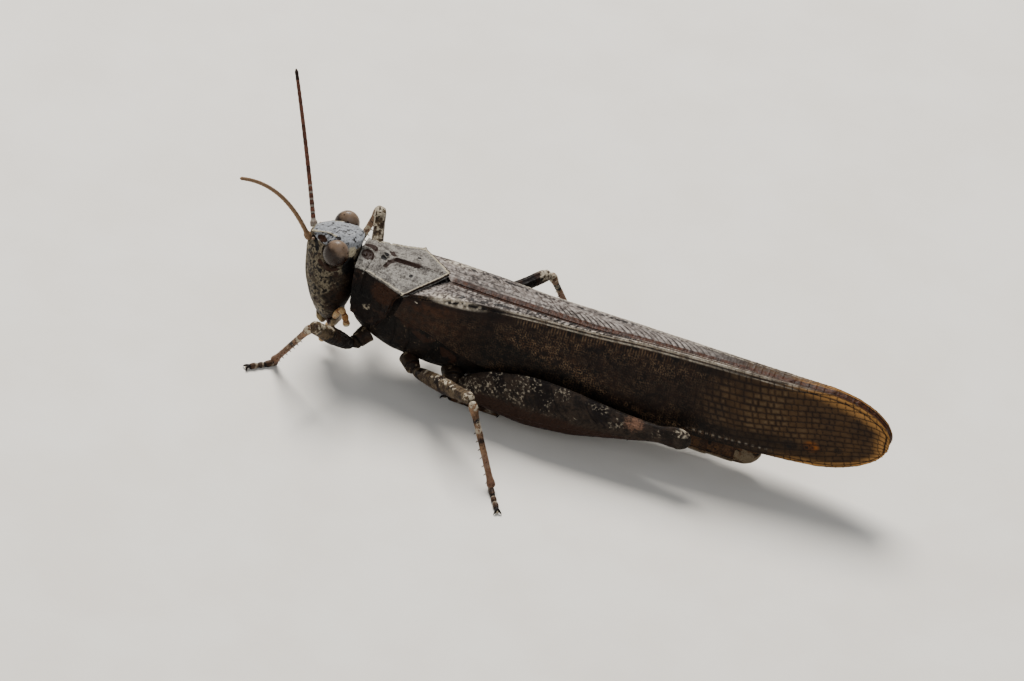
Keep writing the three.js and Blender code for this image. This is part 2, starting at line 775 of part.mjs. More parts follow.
// The three joints of a foot, flat underneath.
function footBlock(leg, grow = 0) {
  const { heel, forward, across, length } = footLine(leg);
  const joints = [
    { share: -0.1, half: 0.22, top: 0.46 },
    { share: 0.3, half: 0.27, top: 0.52 },
    { share: 0.34, half: 0.21, top: 0.45 },
    { share: 0.5, half: 0.26, top: 0.5 },
    { share: 0.54, half: 0.2, top: 0.45 },
    { share: 0.82, half: 0.27, top: 0.53 },
    { share: 0.86, half: 0.17, top: 0.4 },
  ];
  const outline = [[-0.8, 0], [0.8, 0], [1, 0.4], [0.5, 1], [-0.5, 1], [-1, 0.4]];
  const rings = joints.map(({ share, half, top }) => {
    const centre = heel.clone().addScaledVector(forward, share * length).setZ(0);
    const placed = ([y, z]) => {
      const beside = centre.clone().addScaledVector(across, y * (half + grow));
      return beside.setZ(z * (top + grow));
    };
    return outline.map(placed);
  });
  return skin(rings);
}

// The whole foot, which ends in two claws.
function foot(leg) {
  const { heel, toe, forward, across, length } = footLine(leg);
  const knuckle = heel.clone().addScaledVector(forward, 0.84 * length).setZ(0.27);
  const claws = [-1, 1].map((row) => {
    const root = knuckle.clone().addScaledVector(across, 0.05 * row);
    const bend = root.clone().addScaledVector(forward, 0.12 * length).addScaledVector(across, 0.2 * row);
    const tip = toe.clone().addScaledVector(across, 0.34 * row).setZ(0.07);
    const size = (share) => {
      const half = mix(0.13, 0.06, share);
      return { half, high: half, low: half };
    };
    return sweep(new THREE.QuadraticBezierCurve3(root, bend, tip), evenShares(2), 4, UPRIGHT, size);
  });
  return join([footBlock(leg), ...claws]);
}

// ---- the animal ----

const animal = new THREE.Group();
animal.position.x = -BOX_CENTRE_X;

function add(name, geometry, color, roughness) {
  const material = new THREE.MeshStandardMaterial({ color, roughness, metalness: 0 });
  const mesh = new THREE.Mesh(geometry, material);
  mesh.name = name;
  animal.add(mesh);
}

const SHELL = 0x8f8272;
const FACE = 0x8b8474;
const EYE = 0x9a6f45;
const FEELER = 0x7a5238;
const WING = 0x5b4a38;
const BELLY = 0x6e5f4a;
const LIMB = 0xa08a6c;
const FOOT = 0x4d3a2c;

const SIDES = { left: LEFT, right: RIGHT };
const bothEyes = [eyeBall(LEFT, GAP), eyeBall(RIGHT, GAP)];
const bothFeelers = [feeler(LEFT, GAP), feeler(RIGHT, GAP)];
const shells = [pronotum(GAP), tegmen(LEFT, GAP), tegmen(RIGHT, GAP)];
const trunk = carve(thorax(), shells);
const grownTrunk = thorax(GAP);

add('head', carve(headCase(), [...bothEyes, ...bothFeelers]), FACE, 0.6);
add('labrum', upperLip(), FACE, 0.6);
add('jaws', jaws(), BELLY, 0.6);
add('pronotum', pronotum(), SHELL, 0.65);
add('thorax', trunk, BELLY, 0.65);
add('abdomen', abdomen(), BELLY, 0.6);
add('abdomen_tip', carve(abdomenTip(), [cercus(LEFT, GAP), cercus(RIGHT, GAP)]), BELLY, 0.6);

Object.entries(SIDES).forEach(([word, side]) => {
  add(`eye_${word}`, eyeBall(side, 0), EYE, 0.2);
  add(`antenna_${word}`, feeler(side, 0), FEELER, 0.6);
  add(`maxillary_palp_${word}`, palp(side, CHEEK_PALP), LIMB, 0.5);
  add(`labial_palp_${word}`, palp(side, LIP_PALP), LIMB, 0.5);
  add(`tegmen_${word}`, tegmen(side), WING, 0.5);
  add(`hindwing_${word}`, hindWing(side), WING, 0.5);
  add(`cercus_${word}`, cercus(side, 0), BELLY, 0.6);
});

Object.entries(LEGS).forEach(([word, leg]) => {
  const isHind = word.startsWith('hind');
  const lowerLeg = isHind ? hindShin(leg) : shin(leg);
  const thigh = isHind
    ? femur(leg, HIND_FEMUR, 1.75, easedShares(15), 12)
    : femur(leg, THIGH, 2, easedShares(7), 8);
  const joint = coxa(leg, isHind ? 0.8 : 0.62);
  add(`coxa_${word}`, carve(joint, [grownTrunk]), BELLY, 0.6);
  const neighbours = [grownTrunk, coxa(leg, isHind ? 0.86 : 0.68), shin(leg, GAP)];
  add(`femur_${word}`, carve(thigh, neighbours), LIMB, 0.6);
  add(`tibia_${word}`, carve(lowerLeg, [footBlock(leg, GAP)]), LIMB, 0.55);
  add(`tarsus_${word}`, foot(leg), FOOT, 0.55);
});

export default animal;
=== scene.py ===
"""A band-winged grasshopper at rest, life size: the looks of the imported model.

Shapes are worked out in millimetres: X from the hind point of the pronotum towards the tail,
Y out to the animal's right, Z up from the ground. A finished mesh is moved into the frame of the
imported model, in metres. "Out" is the distance from the middle plane on either side.
"""

import math

import bpy
import numpy as np
from mathutils import Matrix, Vector


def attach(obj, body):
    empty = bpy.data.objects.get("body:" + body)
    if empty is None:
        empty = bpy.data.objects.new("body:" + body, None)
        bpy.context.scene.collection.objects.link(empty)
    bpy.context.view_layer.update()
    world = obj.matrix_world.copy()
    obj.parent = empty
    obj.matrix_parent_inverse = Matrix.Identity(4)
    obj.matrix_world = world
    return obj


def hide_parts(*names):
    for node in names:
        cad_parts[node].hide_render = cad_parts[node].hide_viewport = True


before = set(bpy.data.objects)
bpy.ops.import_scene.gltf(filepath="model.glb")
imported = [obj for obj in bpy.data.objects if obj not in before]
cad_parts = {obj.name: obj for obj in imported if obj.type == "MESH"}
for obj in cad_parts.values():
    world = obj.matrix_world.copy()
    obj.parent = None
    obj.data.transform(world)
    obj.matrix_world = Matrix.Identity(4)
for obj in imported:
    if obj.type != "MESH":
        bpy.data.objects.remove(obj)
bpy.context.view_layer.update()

MM = 0.001
BOX_CENTRE_X = 7.982  # mm from the pronotum's hind point to the middle of the animal's box
LEFT, RIGHT = -1, 1
SIDES = {"left": LEFT, "right": RIGHT}

# ---- camera ----

AZIMUTH, ELEVATION, ROLL = math.radians(8.4), math.radians(38), math.radians(11.4)
LOOK_AT = (4.84, -1.21, 5.67)
VIEW_WIDTH = 63.6  # mm across the picture
CAMERA_DISTANCE = 640  # mm

# ---- the animal's measures ----

HEAD_COLUMNS = "front back half narrowing"
HEAD_ROWS = [
    (3.15, -7.8, -6.45, 1.2, 0.25),
    (3.75, -8.15, -6.1, 1.65, 0.25),
    (4.7, -8.58, -5.84, 1.98, 0.25),
    (5.8, -8.88, -5.8, 2.06, 0.25),
    (7.0, -9.02, -5.78, 1.96, 0.3),
    (7.9, -9.1, -5.78, 1.7, 0.42),
    (8.4, -9.1, -5.78, 1.5, 0.5),
    (8.8, -8.95, -5.72, 1.3, 0.5),
    (9.15, -8.55, -5.72, 1.02, 0.45),
    (9.38, -7.95, -6.1, 0.6, 0.35),
]
EYE_CENTRE = np.array([-7.11, 1.6, 8.6])
EYE_STAGGER = 0.11  # the head is turned a little, so the left eye lies further back
EYE_HALF = np.array([0.8, 0.62, 0.96])
EYE_TILT = 0.22

PRONOTUM_COLUMNS = "crest shoulder half low low_half"
PRONOTUM_ROWS = [
    (-5.85, 8.4, 8.02, 1.52, 5.3, 2.0),
    (-4.9, 8.36, 8.0, 1.64, 4.8, 2.15),
    (-4.0, 8.3, 7.87, 1.9, 4.6, 2.3),
    (-3.2, 8.28, 7.78, 2.18, 4.75, 2.42),
    (-2.15, 8.28, 7.7, 2.55, 5.3, 2.5),
    (0.1, 8.34, 7.7, 2.65, 5.8, 2.5),
]
SHOULDER = 0.42  # share of the half section, from the midline, where the shoulder lies
PRONOTUM_FRONT = -5.7
PRONOTUM_REAR_ROWS = [(0, 0.08), (0.06, -0.22), (SHOULDER, -2.15), (0.58, -2.8), (0.8, -3.05), (1, -3.6)]
KEEL_ROWS = [
    (-5.85, 0.04),
    (-5.3, 0.2),
    (-4.85, 0.02),
    (-4.45, 0.18),
    (-4.0, -0.12),
    (-3.4, 0.2),
    (-1.8, 0.12),
    (0.1, 0.03),
]

TRUNK_COLUMNS = "half high low"
THORAX_ROWS = [
    (-5.7, 1.0, 6.6, 4.2),
    (-5.0, 1.5, 7.0, 3.2),
    (-3.6, 1.75, 7.3, 2.4),
    (-2.2, 2.05, 7.5, 2.05),
    (0.5, 2.2, 7.25, 1.85),
    (3.0, 2.05, 6.6, 1.9),
    (4.5, 1.75, 6.3, 2.1),
]
ABDOMEN_ROWS = [
    (4.56, 1.62, 6.2, 2.1),
    (9.0, 1.66, 5.6, 1.7),
    (13.0, 1.58, 4.85, 1.25),
    (17.0, 1.38, 3.95, 0.88),
    (19.9, 1.08, 3.25, 0.78),
]
ABDOMEN_SEGMENTS = 9
LOBE_ROWS = [
    (19.9, 1.0, 3.08, 0.84),
    (20.4, 0.92, 2.9, 0.84),
    (20.95, 0.74, 2.6, 1.02),
    (21.3, 0.45, 2.3, 1.32),
    (21.45, 0.2, 2.05, 1.58),
]

TEGMEN_COLUMNS = "fold top low_half low suture"
TEGMEN_ROWS = [
    (-3.0, 2.35, 7.5, 2.35, 5.9, 0.0),
    (-0.4, 2.06, 7.8, 2.42, 5.3, 0.0),
    (1.5, 1.76, 7.95, 2.42, 4.5, 0.28),
    (4.0, 1.5, 8.0, 2.42, 3.85, 0.5),
    (6.2, 1.26, 7.98, 2.4, 3.72, 0.56),
    (10.0, 1.08, 8.02, 2.36, 3.55, 0.7),
    (13.4, 0.84, 8.1, 2.26, 3.42, 0.55),
    (17.5, 0.66, 8.08, 2.1, 3.25, 0.4),
    (22.0, 0.52, 8.05, 1.6, 3.05, 0.28),
    (25.0, 0.4, 8.08, 1.1, 2.92, 0.16),
    (29.2, 0.3, 8.06, 0.5, 3.0, 0.06),
]
TEGMEN_END = 29.15
TIP_START, TIP_LEVEL = 24.6, 5.5
FOLD_SHARE = 0.66  # share of the wing's section below its fold
WING_ROOT_CLEAR = 0.1
WING_GAP = 0.06

# Joint places of each leg: X, distance out from the middle plane, Z.
LEGS = {
    "front_left": {
        "root": (-4.2, 1.15, 2.95),
        "hip": (-4.9, 2.1, 2.4),
        "knee": (-6.85, 6.1, 6.08),
        "ankle": (-9.3, 3.3, 0.45),
        "toe": (-10.85, 4.5, 0),
    },
    "front_right": {
        "root": (-4.2, 1.15, 2.95),
        "hip": (-4.9, 2.1, 2.4),
        "knee": (-6.1, 6.45, 6.9),
        "ankle": (-7.9, 8.25, 0.45),
        "toe": (-9.0, 9.85, 0),
    },
    "mid_left": {
        "root": (-1.3, 1.5, 2.3),
        "hip": (-0.6, 2.6, 2.25),
        "knee": (3.98, 7.2, 5.03),
        "ankle": (6.5, 9.0, 0.45),
        "toe": (7.55, 11.1, 0),
    },
    "mid_right": {
        "root": (-1.3, 1.5, 2.3),
        "hip": (-0.6, 2.6, 2.25),
        "knee": (5.2, 7.1, 5.15),
        "ankle": (7.0, 9.0, 0.45),
        "toe": (7.75, 11.1, 0),
    },
}
for side_name in SIDES:
    LEGS[f"hind_{side_name}"] = {
        "root": (1.6, 1.4, 2.3),
        "hip": (2.0, 2.75, 2.25),
        "knee": (17.4, 3.35, 3.75),
        "ankle": (4.6, 1.75, 0.6),
        "toe": (1.2, 1.5, 0),
    }

LIMB_COLUMNS = "high low half"
HIND_FEMUR_ROWS = [
    (0.0, 0.5, 0.5, 0.36),
    (0.06, 1.1, 0.85, 0.52),
    (0.16, 1.65, 1.3, 0.66),
    (0.32, 1.9, 1.75, 0.72),
    (0.46, 1.68, 1.7, 0.68),
    (0.62, 1.15, 1.3, 0.58),
    (0.78, 0.72, 0.85, 0.46),
    (0.87, 0.6, 0.66, 0.4),
    (0.94, 0.78, 0.82, 0.46),
    (1.0, 0.5, 0.45, 0.32),
]
THIGH_ROWS = [
    (0.0, 0.28, 0.28, 0.28),
    (0.12, 0.4, 0.42, 0.36),
    (0.5, 0.52, 0.54, 0.42),
    (0.82, 0.4, 0.42, 0.36),
    (0.93, 0.44, 0.4, 0.38),
    (1.0, 0.28, 0.26, 0.27),
]
SHIN_ROWS = [
    (0.0, 0.2, 0.2, 0.2),
    (0.07, 0.3, 0.3, 0.27),
    (0.2, 0.21, 0.21, 0.19),
    (0.85, 0.2, 0.2, 0.18),
    (0.96, 0.27, 0.27, 0.25),
    (1.0, 0.2, 0.2, 0.2),
]

# ---- number helpers ----


def mix(a, b, share):
    return a + (b - a) * share


def ramp(low, high, value):
    """0 below low, 1 above high, eased between them."""
    share = np.clip((value - low) / (high - low), 0, 1)
    return share * share * (3 - 2 * share)


def hill(value, centre, width):
    """1 at the centre, falling away on both sides of it."""
    return np.exp(-(((value - centre) / width) ** 2))


class Stations:
    """Named measures along a line, eased smoothly from each station to the next."""

    def __init__(self, names, rows):
        table = np.array(rows, float)
        self.at = table[:, 0]
        self.columns = dict(zip(names.split(), table[:, 1:].T))

    def slopes(self, values):
        rise = np.diff(values) / np.diff(self.at)
        before, after = rise[:-1], rise[1:]
        crest = before * after <= 0
        middle = np.where(crest, 0, 2 * before * after / np.where(crest, 1, before + after))
        return np.concatenate([rise[:1], middle, rise[-1:]])

    def __call__(self, name, at):
        values = self.columns[name]
        slopes = self.slopes(values)
        at = np.clip(at, self.at[0], self.at[-1])
        index = np.clip(np.searchsorted(self.at, at, side="right") - 1, 0, len(self.at) - 2)
        span = self.at[index + 1] - self.at[index]
        t = (at - self.at[index]) / span
        start = 2 * t**3 - 3 * t**2 + 1
        return (
            start * values[index]
            + (1 - start) * values[index + 1]
            + (t**3 - 2 * t**2 + t) * span * slopes[index]
            + (t**3 - t**2) * span * slopes[index + 1]
        )


def scatter(*whole, seed=0):
    """A repeatable number from 0 to 1 for each whole-numbered place."""
    h = np.full(np.broadcast(*whole).shape, seed * 2654435761 % 4294967296, np.int64)
    for value, factor in zip(whole, (374761393, 668265263, 1440662683)):
        h = (h + np.asarray(value, np.int64) * factor) & 0xFFFFFFFF
        h = ((h ^ (h >> 15)) * 1274126177) & 0xFFFFFFFF
    return ((h ^ (h >> 13)) & 0xFFFFFF) / 0xFFFFFF


def noise(places, size, seed=0):
    """Smooth noise from 0 to 1, with cells of that size in mm."""
    scaled = places / size
    floor = np.floor(scaled)
    part = scaled - floor
    part = part * part * (3 - 2 * part)
    floor = floor.astype(np.int64)
    total = 0
    for corner in np.ndindex(2, 2, 2):
        weight = np.prod(np.where(corner, part, 1 - part), axis=-1)
        total = total + weight * scatter(*np.moveaxis(floor + corner, -1, 0), seed=seed)
    return total


def clouds(places, size, seed=0, octaves=3):
    """Noise with finer and finer detail, from 0 to 1."""
    layers = [noise(places, size / 2**k, seed + k) / 2**k for k in range(octaves)]
    return sum(layers) / sum(1 / 2**k for k in range(octaves))


def pits(places, size, seed=0):
    """Distance from each place to the nearest scattered point, in shares of size, and its number."""
    scaled = places / size
    floor = np.floor(scaled).astype(np.int64)
    nearest = np.full(places.shape[:-1], 9.0)
    number = np.zeros(places.shape[:-1])
    for step in np.ndindex(3, 3, 3):
        cell = floor + step - 1
        axes = np.moveaxis(cell, -1, 0)
        offset = np.stack([scatter(*axes, seed=seed + k) for k in range(3)], -1)
        distance = np.linalg.norm(cell + offset - scaled, axis=-1)
        closer = distance < nearest
        nearest = np.where(closer, distance, nearest)
        number = np.where(closer, scatter(*axes, seed=seed + 7), number)
    return nearest, number


def net(u, v, size, seed=0):
    """How far a place is inside its cell of an irregular net: 0 on the net's threads."""
    u, v = u / size, v / size
    first = np.full(u.shape, 9.0)
    second = np.full(u.shape, 9.0)
    iu, iv = np.floor(u).astype(np.int64), np.floor(v).astype(np.int64)
    for du, dv in np.ndindex(3, 3):
        cu, cv = iu + du - 1, iv + dv - 1
        pu = cu + 0.5 + 0.8 * (scatter(cu, cv, seed=seed) - 0.5)
        pv = cv + 0.5 + 0.8 * (scatter(cu, cv, seed=seed + 1) - 0.5)
        distance = np.hypot(pu - u, pv - v)
        second = np.minimum(second, np.maximum(first, distance))
        first = np.minimum(first, distance)
    return second - first


def spot(places, centre, radius, soft=0.35):
    """1 inside a round mark on either side of the body, 0 outside it."""
    mirrored = places * [1, 0, 1] + np.abs(places) * [0, 1, 0]
    distance = np.linalg.norm((mirrored - centre) / radius, axis=-1)
    return 1 - ramp(1 - soft, 1 + soft, distance)


def streak(places, path, width):
    """1 along a line of points on either side of the body, 0 away from it."""
    mirrored = places * [1, 0, 1] + np.abs(places) * [0, 1, 0]
    nearest = np.full(places.shape[:-1], 99.0)
    for a, b in zip(path, path[1:]):
        a, b = np.array(a, float), np.array(b, float)
        run = b - a
        t = np.clip((mirrored - a) @ run / (run @ run), 0, 1)
        nearest = np.minimum(nearest, np.linalg.norm(mirrored - a - t[..., None] * run, axis=-1))
    return 1 - ramp(0.6 * width, 1.1 * width, nearest)


# ---- mesh helpers ----


def unit(vectors):
    length = np.linalg.norm(vectors, axis=-1, keepdims=True)
    return vectors / np.maximum(length, 1e-9)


def outward(points, wrap):
    """The direction out of a grid of points, at each of them."""
    padded = np.concatenate([points[:, -1:], points, points[:, :1]], 1) if wrap else points
    around = np.gradient(padded, axis=1)
    around = around[:, 1:-1] if wrap else around
    return unit(np.cross(around, np.gradient(points, axis=0)))


class Builder:
    """Gathers grids of points, each with its own layers of numbers, into one mesh."""

    def __init__(self):
        self.points, self.faces, self.materials, self.layers = [], [], [], []
        self.count = 0

    def add(self, points, faces, material, layers):
        self.points.append(points)
        self.faces.append(faces + self.count)
        self.materials.append(np.full(len(faces), material))
        self.layers.append({name: np.broadcast_to(v, len(points)) for name, v in layers.items()})
        self.count += len(points)

    def grid(self, points, wrap=False, ends=True, material=0, **layers):
        """Rows of points. With wrap, each row closes on itself, and ends closes the end rows."""
        rows, columns = points.shape[:2]
        index = np.arange(rows * columns).reshape(rows, columns)
        if wrap:
            index = np.concatenate([index, index[:, :1]], 1)
        a, b, c, d = index[:-1, :-1], index[:-1, 1:], index[1:, 1:], index[1:, :-1]
        faces = np.stack([a, b, c, d], -1).reshape(-1, 4)
        flat = points.reshape(-1, 3)
        flat_layers = {n: np.broadcast_to(v, (rows, columns)).ravel() for n, v in layers.items()}
        if wrap and ends:
            hubs = np.stack([points[0].mean(0), points[-1].mean(0)])
            first, last = index[0], index[-1]
            hub = rows * columns
            start = [np.full(columns, hub), first[1:], first[:-1], first[:-1]]
            end = [np.full(columns, hub + 1), last[:-1], last[1:], last[1:]]
            faces = np.concatenate([faces, np.stack(start, -1), np.stack(end, -1)])
            flat = np.concatenate([flat, hubs])
            edge = {n: [v[:columns].mean(), v[-columns:].mean()] for n, v in flat_layers.items()}
            flat_layers = {n: np.concatenate([v, edge[n]]) for n, v in flat_layers.items()}
        self.add(flat, faces, material, flat_layers)

    def build(self, name, materials, replaces):
        points = np.concatenate(self.points)
        faces = np.concatenate(self.faces)
        mesh = bpy.data.meshes.new(name)
        mesh.vertices.add(len(points))
        mesh.vertices.foreach_set("co", ((points - [BOX_CENTRE_X, 0, 0]) * MM).ravel())
        is_triangle = faces[:, 2] == faces[:, 3]
        sizes = np.where(is_triangle, 3, 4)
        corners = faces[np.stack([sizes > 0, sizes > 0, sizes > 0, ~is_triangle], -1)]
        mesh.loops.add(len(corners))
        mesh.loops.foreach_set("vertex_index", corners)
        mesh.polygons.add(len(faces))
        mesh.polygons.foreach_set("loop_start", np.cumsum(sizes) - sizes)
        mesh.polygons.foreach_set("material_index", np.concatenate(self.materials))
        mesh.update(calc_edges=True)
        mesh.validate()
        mesh.shade_smooth()
        for layer in sorted({n for layers in self.layers for n in layers}):
            values = [ls.get(layer, np.zeros(len(p))) for ls, p in zip(self.layers, self.points)]
            attribute = mesh.attributes.new(layer, "FLOAT", "POINT")
            attribute.data.foreach_set("value", np.concatenate(values).astype(np.float32))
        for material in materials:
            mesh.materials.append(material)
        piece = bpy.data.objects.new(name, mesh)
        bpy.context.scene.collection.objects.link(piece)
        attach(piece, "root")
        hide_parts(*replaces)
        return piece


def ring_angles(sides):
    return np.arange(sides) * 2 * math.pi / sides


def oval(angle, half, high, low, power):
    """Across and up of an oval. Power 2 is an ellipse, more is boxier, less is keeled."""
    c, s = np.cos(angle), np.sin(angle)
    across = half * np.sign(c) * np.abs(c) ** (2 / power)
    up = np.where(s > 0, high, low) * np.sign(s) * np.abs(s) ** (2 / power)
    return across, up


def tube(centres, sides, half, high, low, upright=(0, 0, 1), power=2):
    """Rings of an oval section along a line of centres."""
    forward = unit(np.gradient(centres, axis=0))
    across = unit(np.cross(upright, forward))
    lift = np.cross(forward, across)
    angle = ring_angles(sides)[None, :]
    column = [np.reshape(v, (-1, 1)) * np.ones((len(centres), 1)) for v in (half, high, low)]
    out, up = oval(angle, *column, power)
    return centres[:, None] + out[..., None] * across[:, None] + up[..., None] * lift[:, None]


def between(a, b, steps):
    share = np.linspace(0, 1, steps)[:, None]
    return np.array(a) * (1 - share) + np.array(b) * share


def placed(place, side):
    """A place given as X, distance out and Z, on one side of the body."""
    x, out, z = place
    return np.array([x, out * side, z])


# ---- materials ----


class Nodes:
    """A material's node tree, built by short calls."""

    def __init__(self, name):
        self.material = bpy.data.materials.new(name)
        self.material.use_nodes = True
        self.tree = self.material.node_tree
        self.shader = self.tree.nodes["Principled BSDF"]
        self.shader.inputs["Specular IOR Level"].default_value = 0.12
        self.place = self.tree.nodes.new("ShaderNodeTexCoord").outputs["Object"]

    def feed(self, socket, value):
        if isinstance(value, bpy.types.NodeSocket):
            self.tree.links.new(value, socket)
        else:
            socket.default_value = value

    def node(self, kind, settings=None, **inputs):
        node = self.tree.nodes.new("ShaderNode" + kind)
        for key, value in (settings or {}).items():
            setattr(node, key, value)
        for key, value in inputs.items():
            self.feed(node.inputs[key.replace("_", " ")], value)
        return node

    def maths(self, operation, a, b=0.0, clamp=False):
        node = self.tree.nodes.new("ShaderNodeMath")
        node.operation, node.use_clamp = operation, clamp
        self.feed(node.inputs[0], a)
        self.feed(node.inputs[1], b)
        return node.outputs[0]

    def layer(self, name):
        return self.node("Attribute", {"attribute_name": name}).outputs["Fac"]

    def clouds(self, size, detail=3.0, roughness=0.6):
        """Noise about 0.5, with features of that size in mm."""
        scale = 1 / (size * MM)
        found = self.node("TexNoise", Vector=self.place, Scale=scale, Detail=detail, Roughness=roughness)
        return found.outputs["Fac"]

    def cells(self, size, feature="F1"):
        """Distance from scattered points that lie about that far apart, in mm."""
        found = self.node("TexVoronoi", {"feature": feature}, Vector=self.place, Scale=1 / (size * MM))
        return found.outputs["Distance"]

    def step(self, value, low, high, out_low=0.0, out_high=1.0):
        settings = {"interpolation_type": "SMOOTHSTEP"}
        found = self.node("MapRange", settings, Value=value, From_Min=low, From_Max=high)
        found.inputs["To Min"].default_value = out_low
        found.inputs["To Max"].default_value = out_high
        return found.outputs["Result"]

    def blend(self, share, a, b, mode="MIX"):
        node = self.tree.nodes.new("ShaderNodeMix")
        node.data_type, node.blend_type = "RGBA", mode
        self.feed(node.inputs["Factor"], share)
        for socket, value in ((node.inputs[6], a), (node.inputs[7], b)):
            self.feed(socket, value if isinstance(value, bpy.types.NodeSocket) else (*value, 1))
        return node.outputs[2]

    def relief(self, height, depth):
        """Bump of that depth in mm for a height from 0 to 1."""
        bump = self.node("Bump", Height=height, Distance=depth * MM, Strength=1.0)
        return bump.outputs["Normal"]


def srgb(code):
    """A linear colour from a hexadecimal screen colour."""
    channels = [int(code[k : k + 2], 16) / 255 for k in (0, 2, 4)]
    return tuple(c / 12.92 if c <= 0.04045 else ((c + 0.055) / 1.055) ** 2.4 for c in channels)


DARKER = (0.4, 0.38, 0.36)


def cuticle(name, ground, shade, marks, speckle, roughness=(0.45, 0.7), grain=0.05, depth=0.012):
    """Body shell: mottled ground and shade colours, painted marks by layer, fine specks, grain.

    marks are (layer, colour) in the order they are laid. speckle is (size, share, colour)."""
    nodes = Nodes(name)
    broad, close = nodes.clouds(0.55), nodes.clouds(0.14, 4.0)
    mottle = nodes.maths("ADD", nodes.maths("MULTIPLY", broad, 0.55), nodes.maths("MULTIPLY", close, 0.45))
    colour = nodes.blend(nodes.step(mottle, 0.42, 0.6), srgb(ground), srgb(shade))
    fringe = nodes.maths("MULTIPLY", nodes.maths("SUBTRACT", nodes.clouds(0.16, 4.0), 0.5), 1.1)
    for layer, mark in marks:
        strength = nodes.layer(layer)
        edge = nodes.maths("MULTIPLY", fringe, nodes.step(strength, 0.02, 0.3))
        share = nodes.step(nodes.maths("ADD", strength, edge), 0.25, 0.75)
        worn = nodes.step(nodes.clouds(0.12), 0.35, 0.7, 0.0, 0.5)
        colour = nodes.blend(share, colour, nodes.blend(worn, srgb(mark), DARKER, "MULTIPLY"))
    size, amount, tint = speckle
    dots = nodes.step(nodes.cells(size), 0.16, 0.3, 1.0, 0.0)
    patchy = nodes.step(nodes.clouds(size * 3), 0.62 - amount * 0.4, 0.72 - amount * 0.3)
    dots = nodes.maths("MULTIPLY", dots, patchy)
    colour = nodes.blend(nodes.maths("MULTIPLY", dots, 0.85), colour, srgb(tint))
    fine = nodes.clouds(grain, 2.0)
    colour = nodes.blend(nodes.step(fine, 0.3, 0.75, 0.0, 0.45), colour, DARKER, "MULTIPLY")
    nodes.feed(nodes.shader.inputs["Base Color"], colour)
    rough = nodes.step(nodes.clouds(0.3), 0.3, 0.7, roughness[0], roughness[1])
    nodes.feed(nodes.shader.inputs["Roughness"], rough)
    height = nodes.maths("ADD", nodes.maths("MULTIPLY", fine, 0.7), nodes.cells(grain * 2.2))
    nodes.feed(nodes.shader.inputs["Normal"], nodes.relief(height, depth))
    return nodes.material


# ---- head ----

head_case = Stations(HEAD_COLUMNS, HEAD_ROWS)


def eye_depth(places):
    """How far out an eye's inner face lies at each place, or far out where there is no eye."""
    dx = places[..., 0] - EYE_CENTRE[0] + EYE_STAGGER * np.sign(places[..., 1])
    dz = places[..., 2] - EYE_CENTRE[2]
    c, s = math.cos(EYE_TILT), math.sin(EYE_TILT)
    across = (dx * c - dz * s) / (EYE_HALF[0] + 0.04)
    up = (dx * s + dz * c) / (EYE_HALF[2] + 0.04)
    left = 1 - across**2 - up**2
    depth = EYE_CENTRE[1] - (EYE_HALF[1] + 0.04) * np.sqrt(np.maximum(left, 0))
    return np.where(left > 0, depth, 99), np.sqrt(across**2 + up**2)


def head_surface():
    low, high = HEAD_ROWS[0][0], HEAD_ROWS[-1][0]
    z = np.concatenate([np.linspace(low, high, 170), high + 0.04 * np.sin(np.linspace(0.2, 1.57, 14))])
    shrink = np.concatenate([np.ones(170), np.cos(np.linspace(0.2, 1.52, 14))])
    front, back = head_case("front", z), head_case("back", z)
    half, narrowing = head_case("half", z), head_case("narrowing", z)
    middle, reach = (front + back) / 2, (back - front) / 2
    angle = ring_angles(280)[None, :]
    x, y = oval(angle, (reach * shrink)[:, None], (half * shrink)[:, None], (half * shrink)[:, None], 2.5)
    y = y * (1 - narrowing[:, None] * np.maximum(0, -x / reach[:, None]))
    return np.stack([x + middle[:, None], y, np.broadcast_to(z[:, None], x.shape)], -1)


VERTEX_RIDGE = [(-8.95, 0.3, 8.8), (-8.4, 0.47, 9.0), (-7.95, 0.56, 9.16), (-7.3, 0.76, 9.22)]


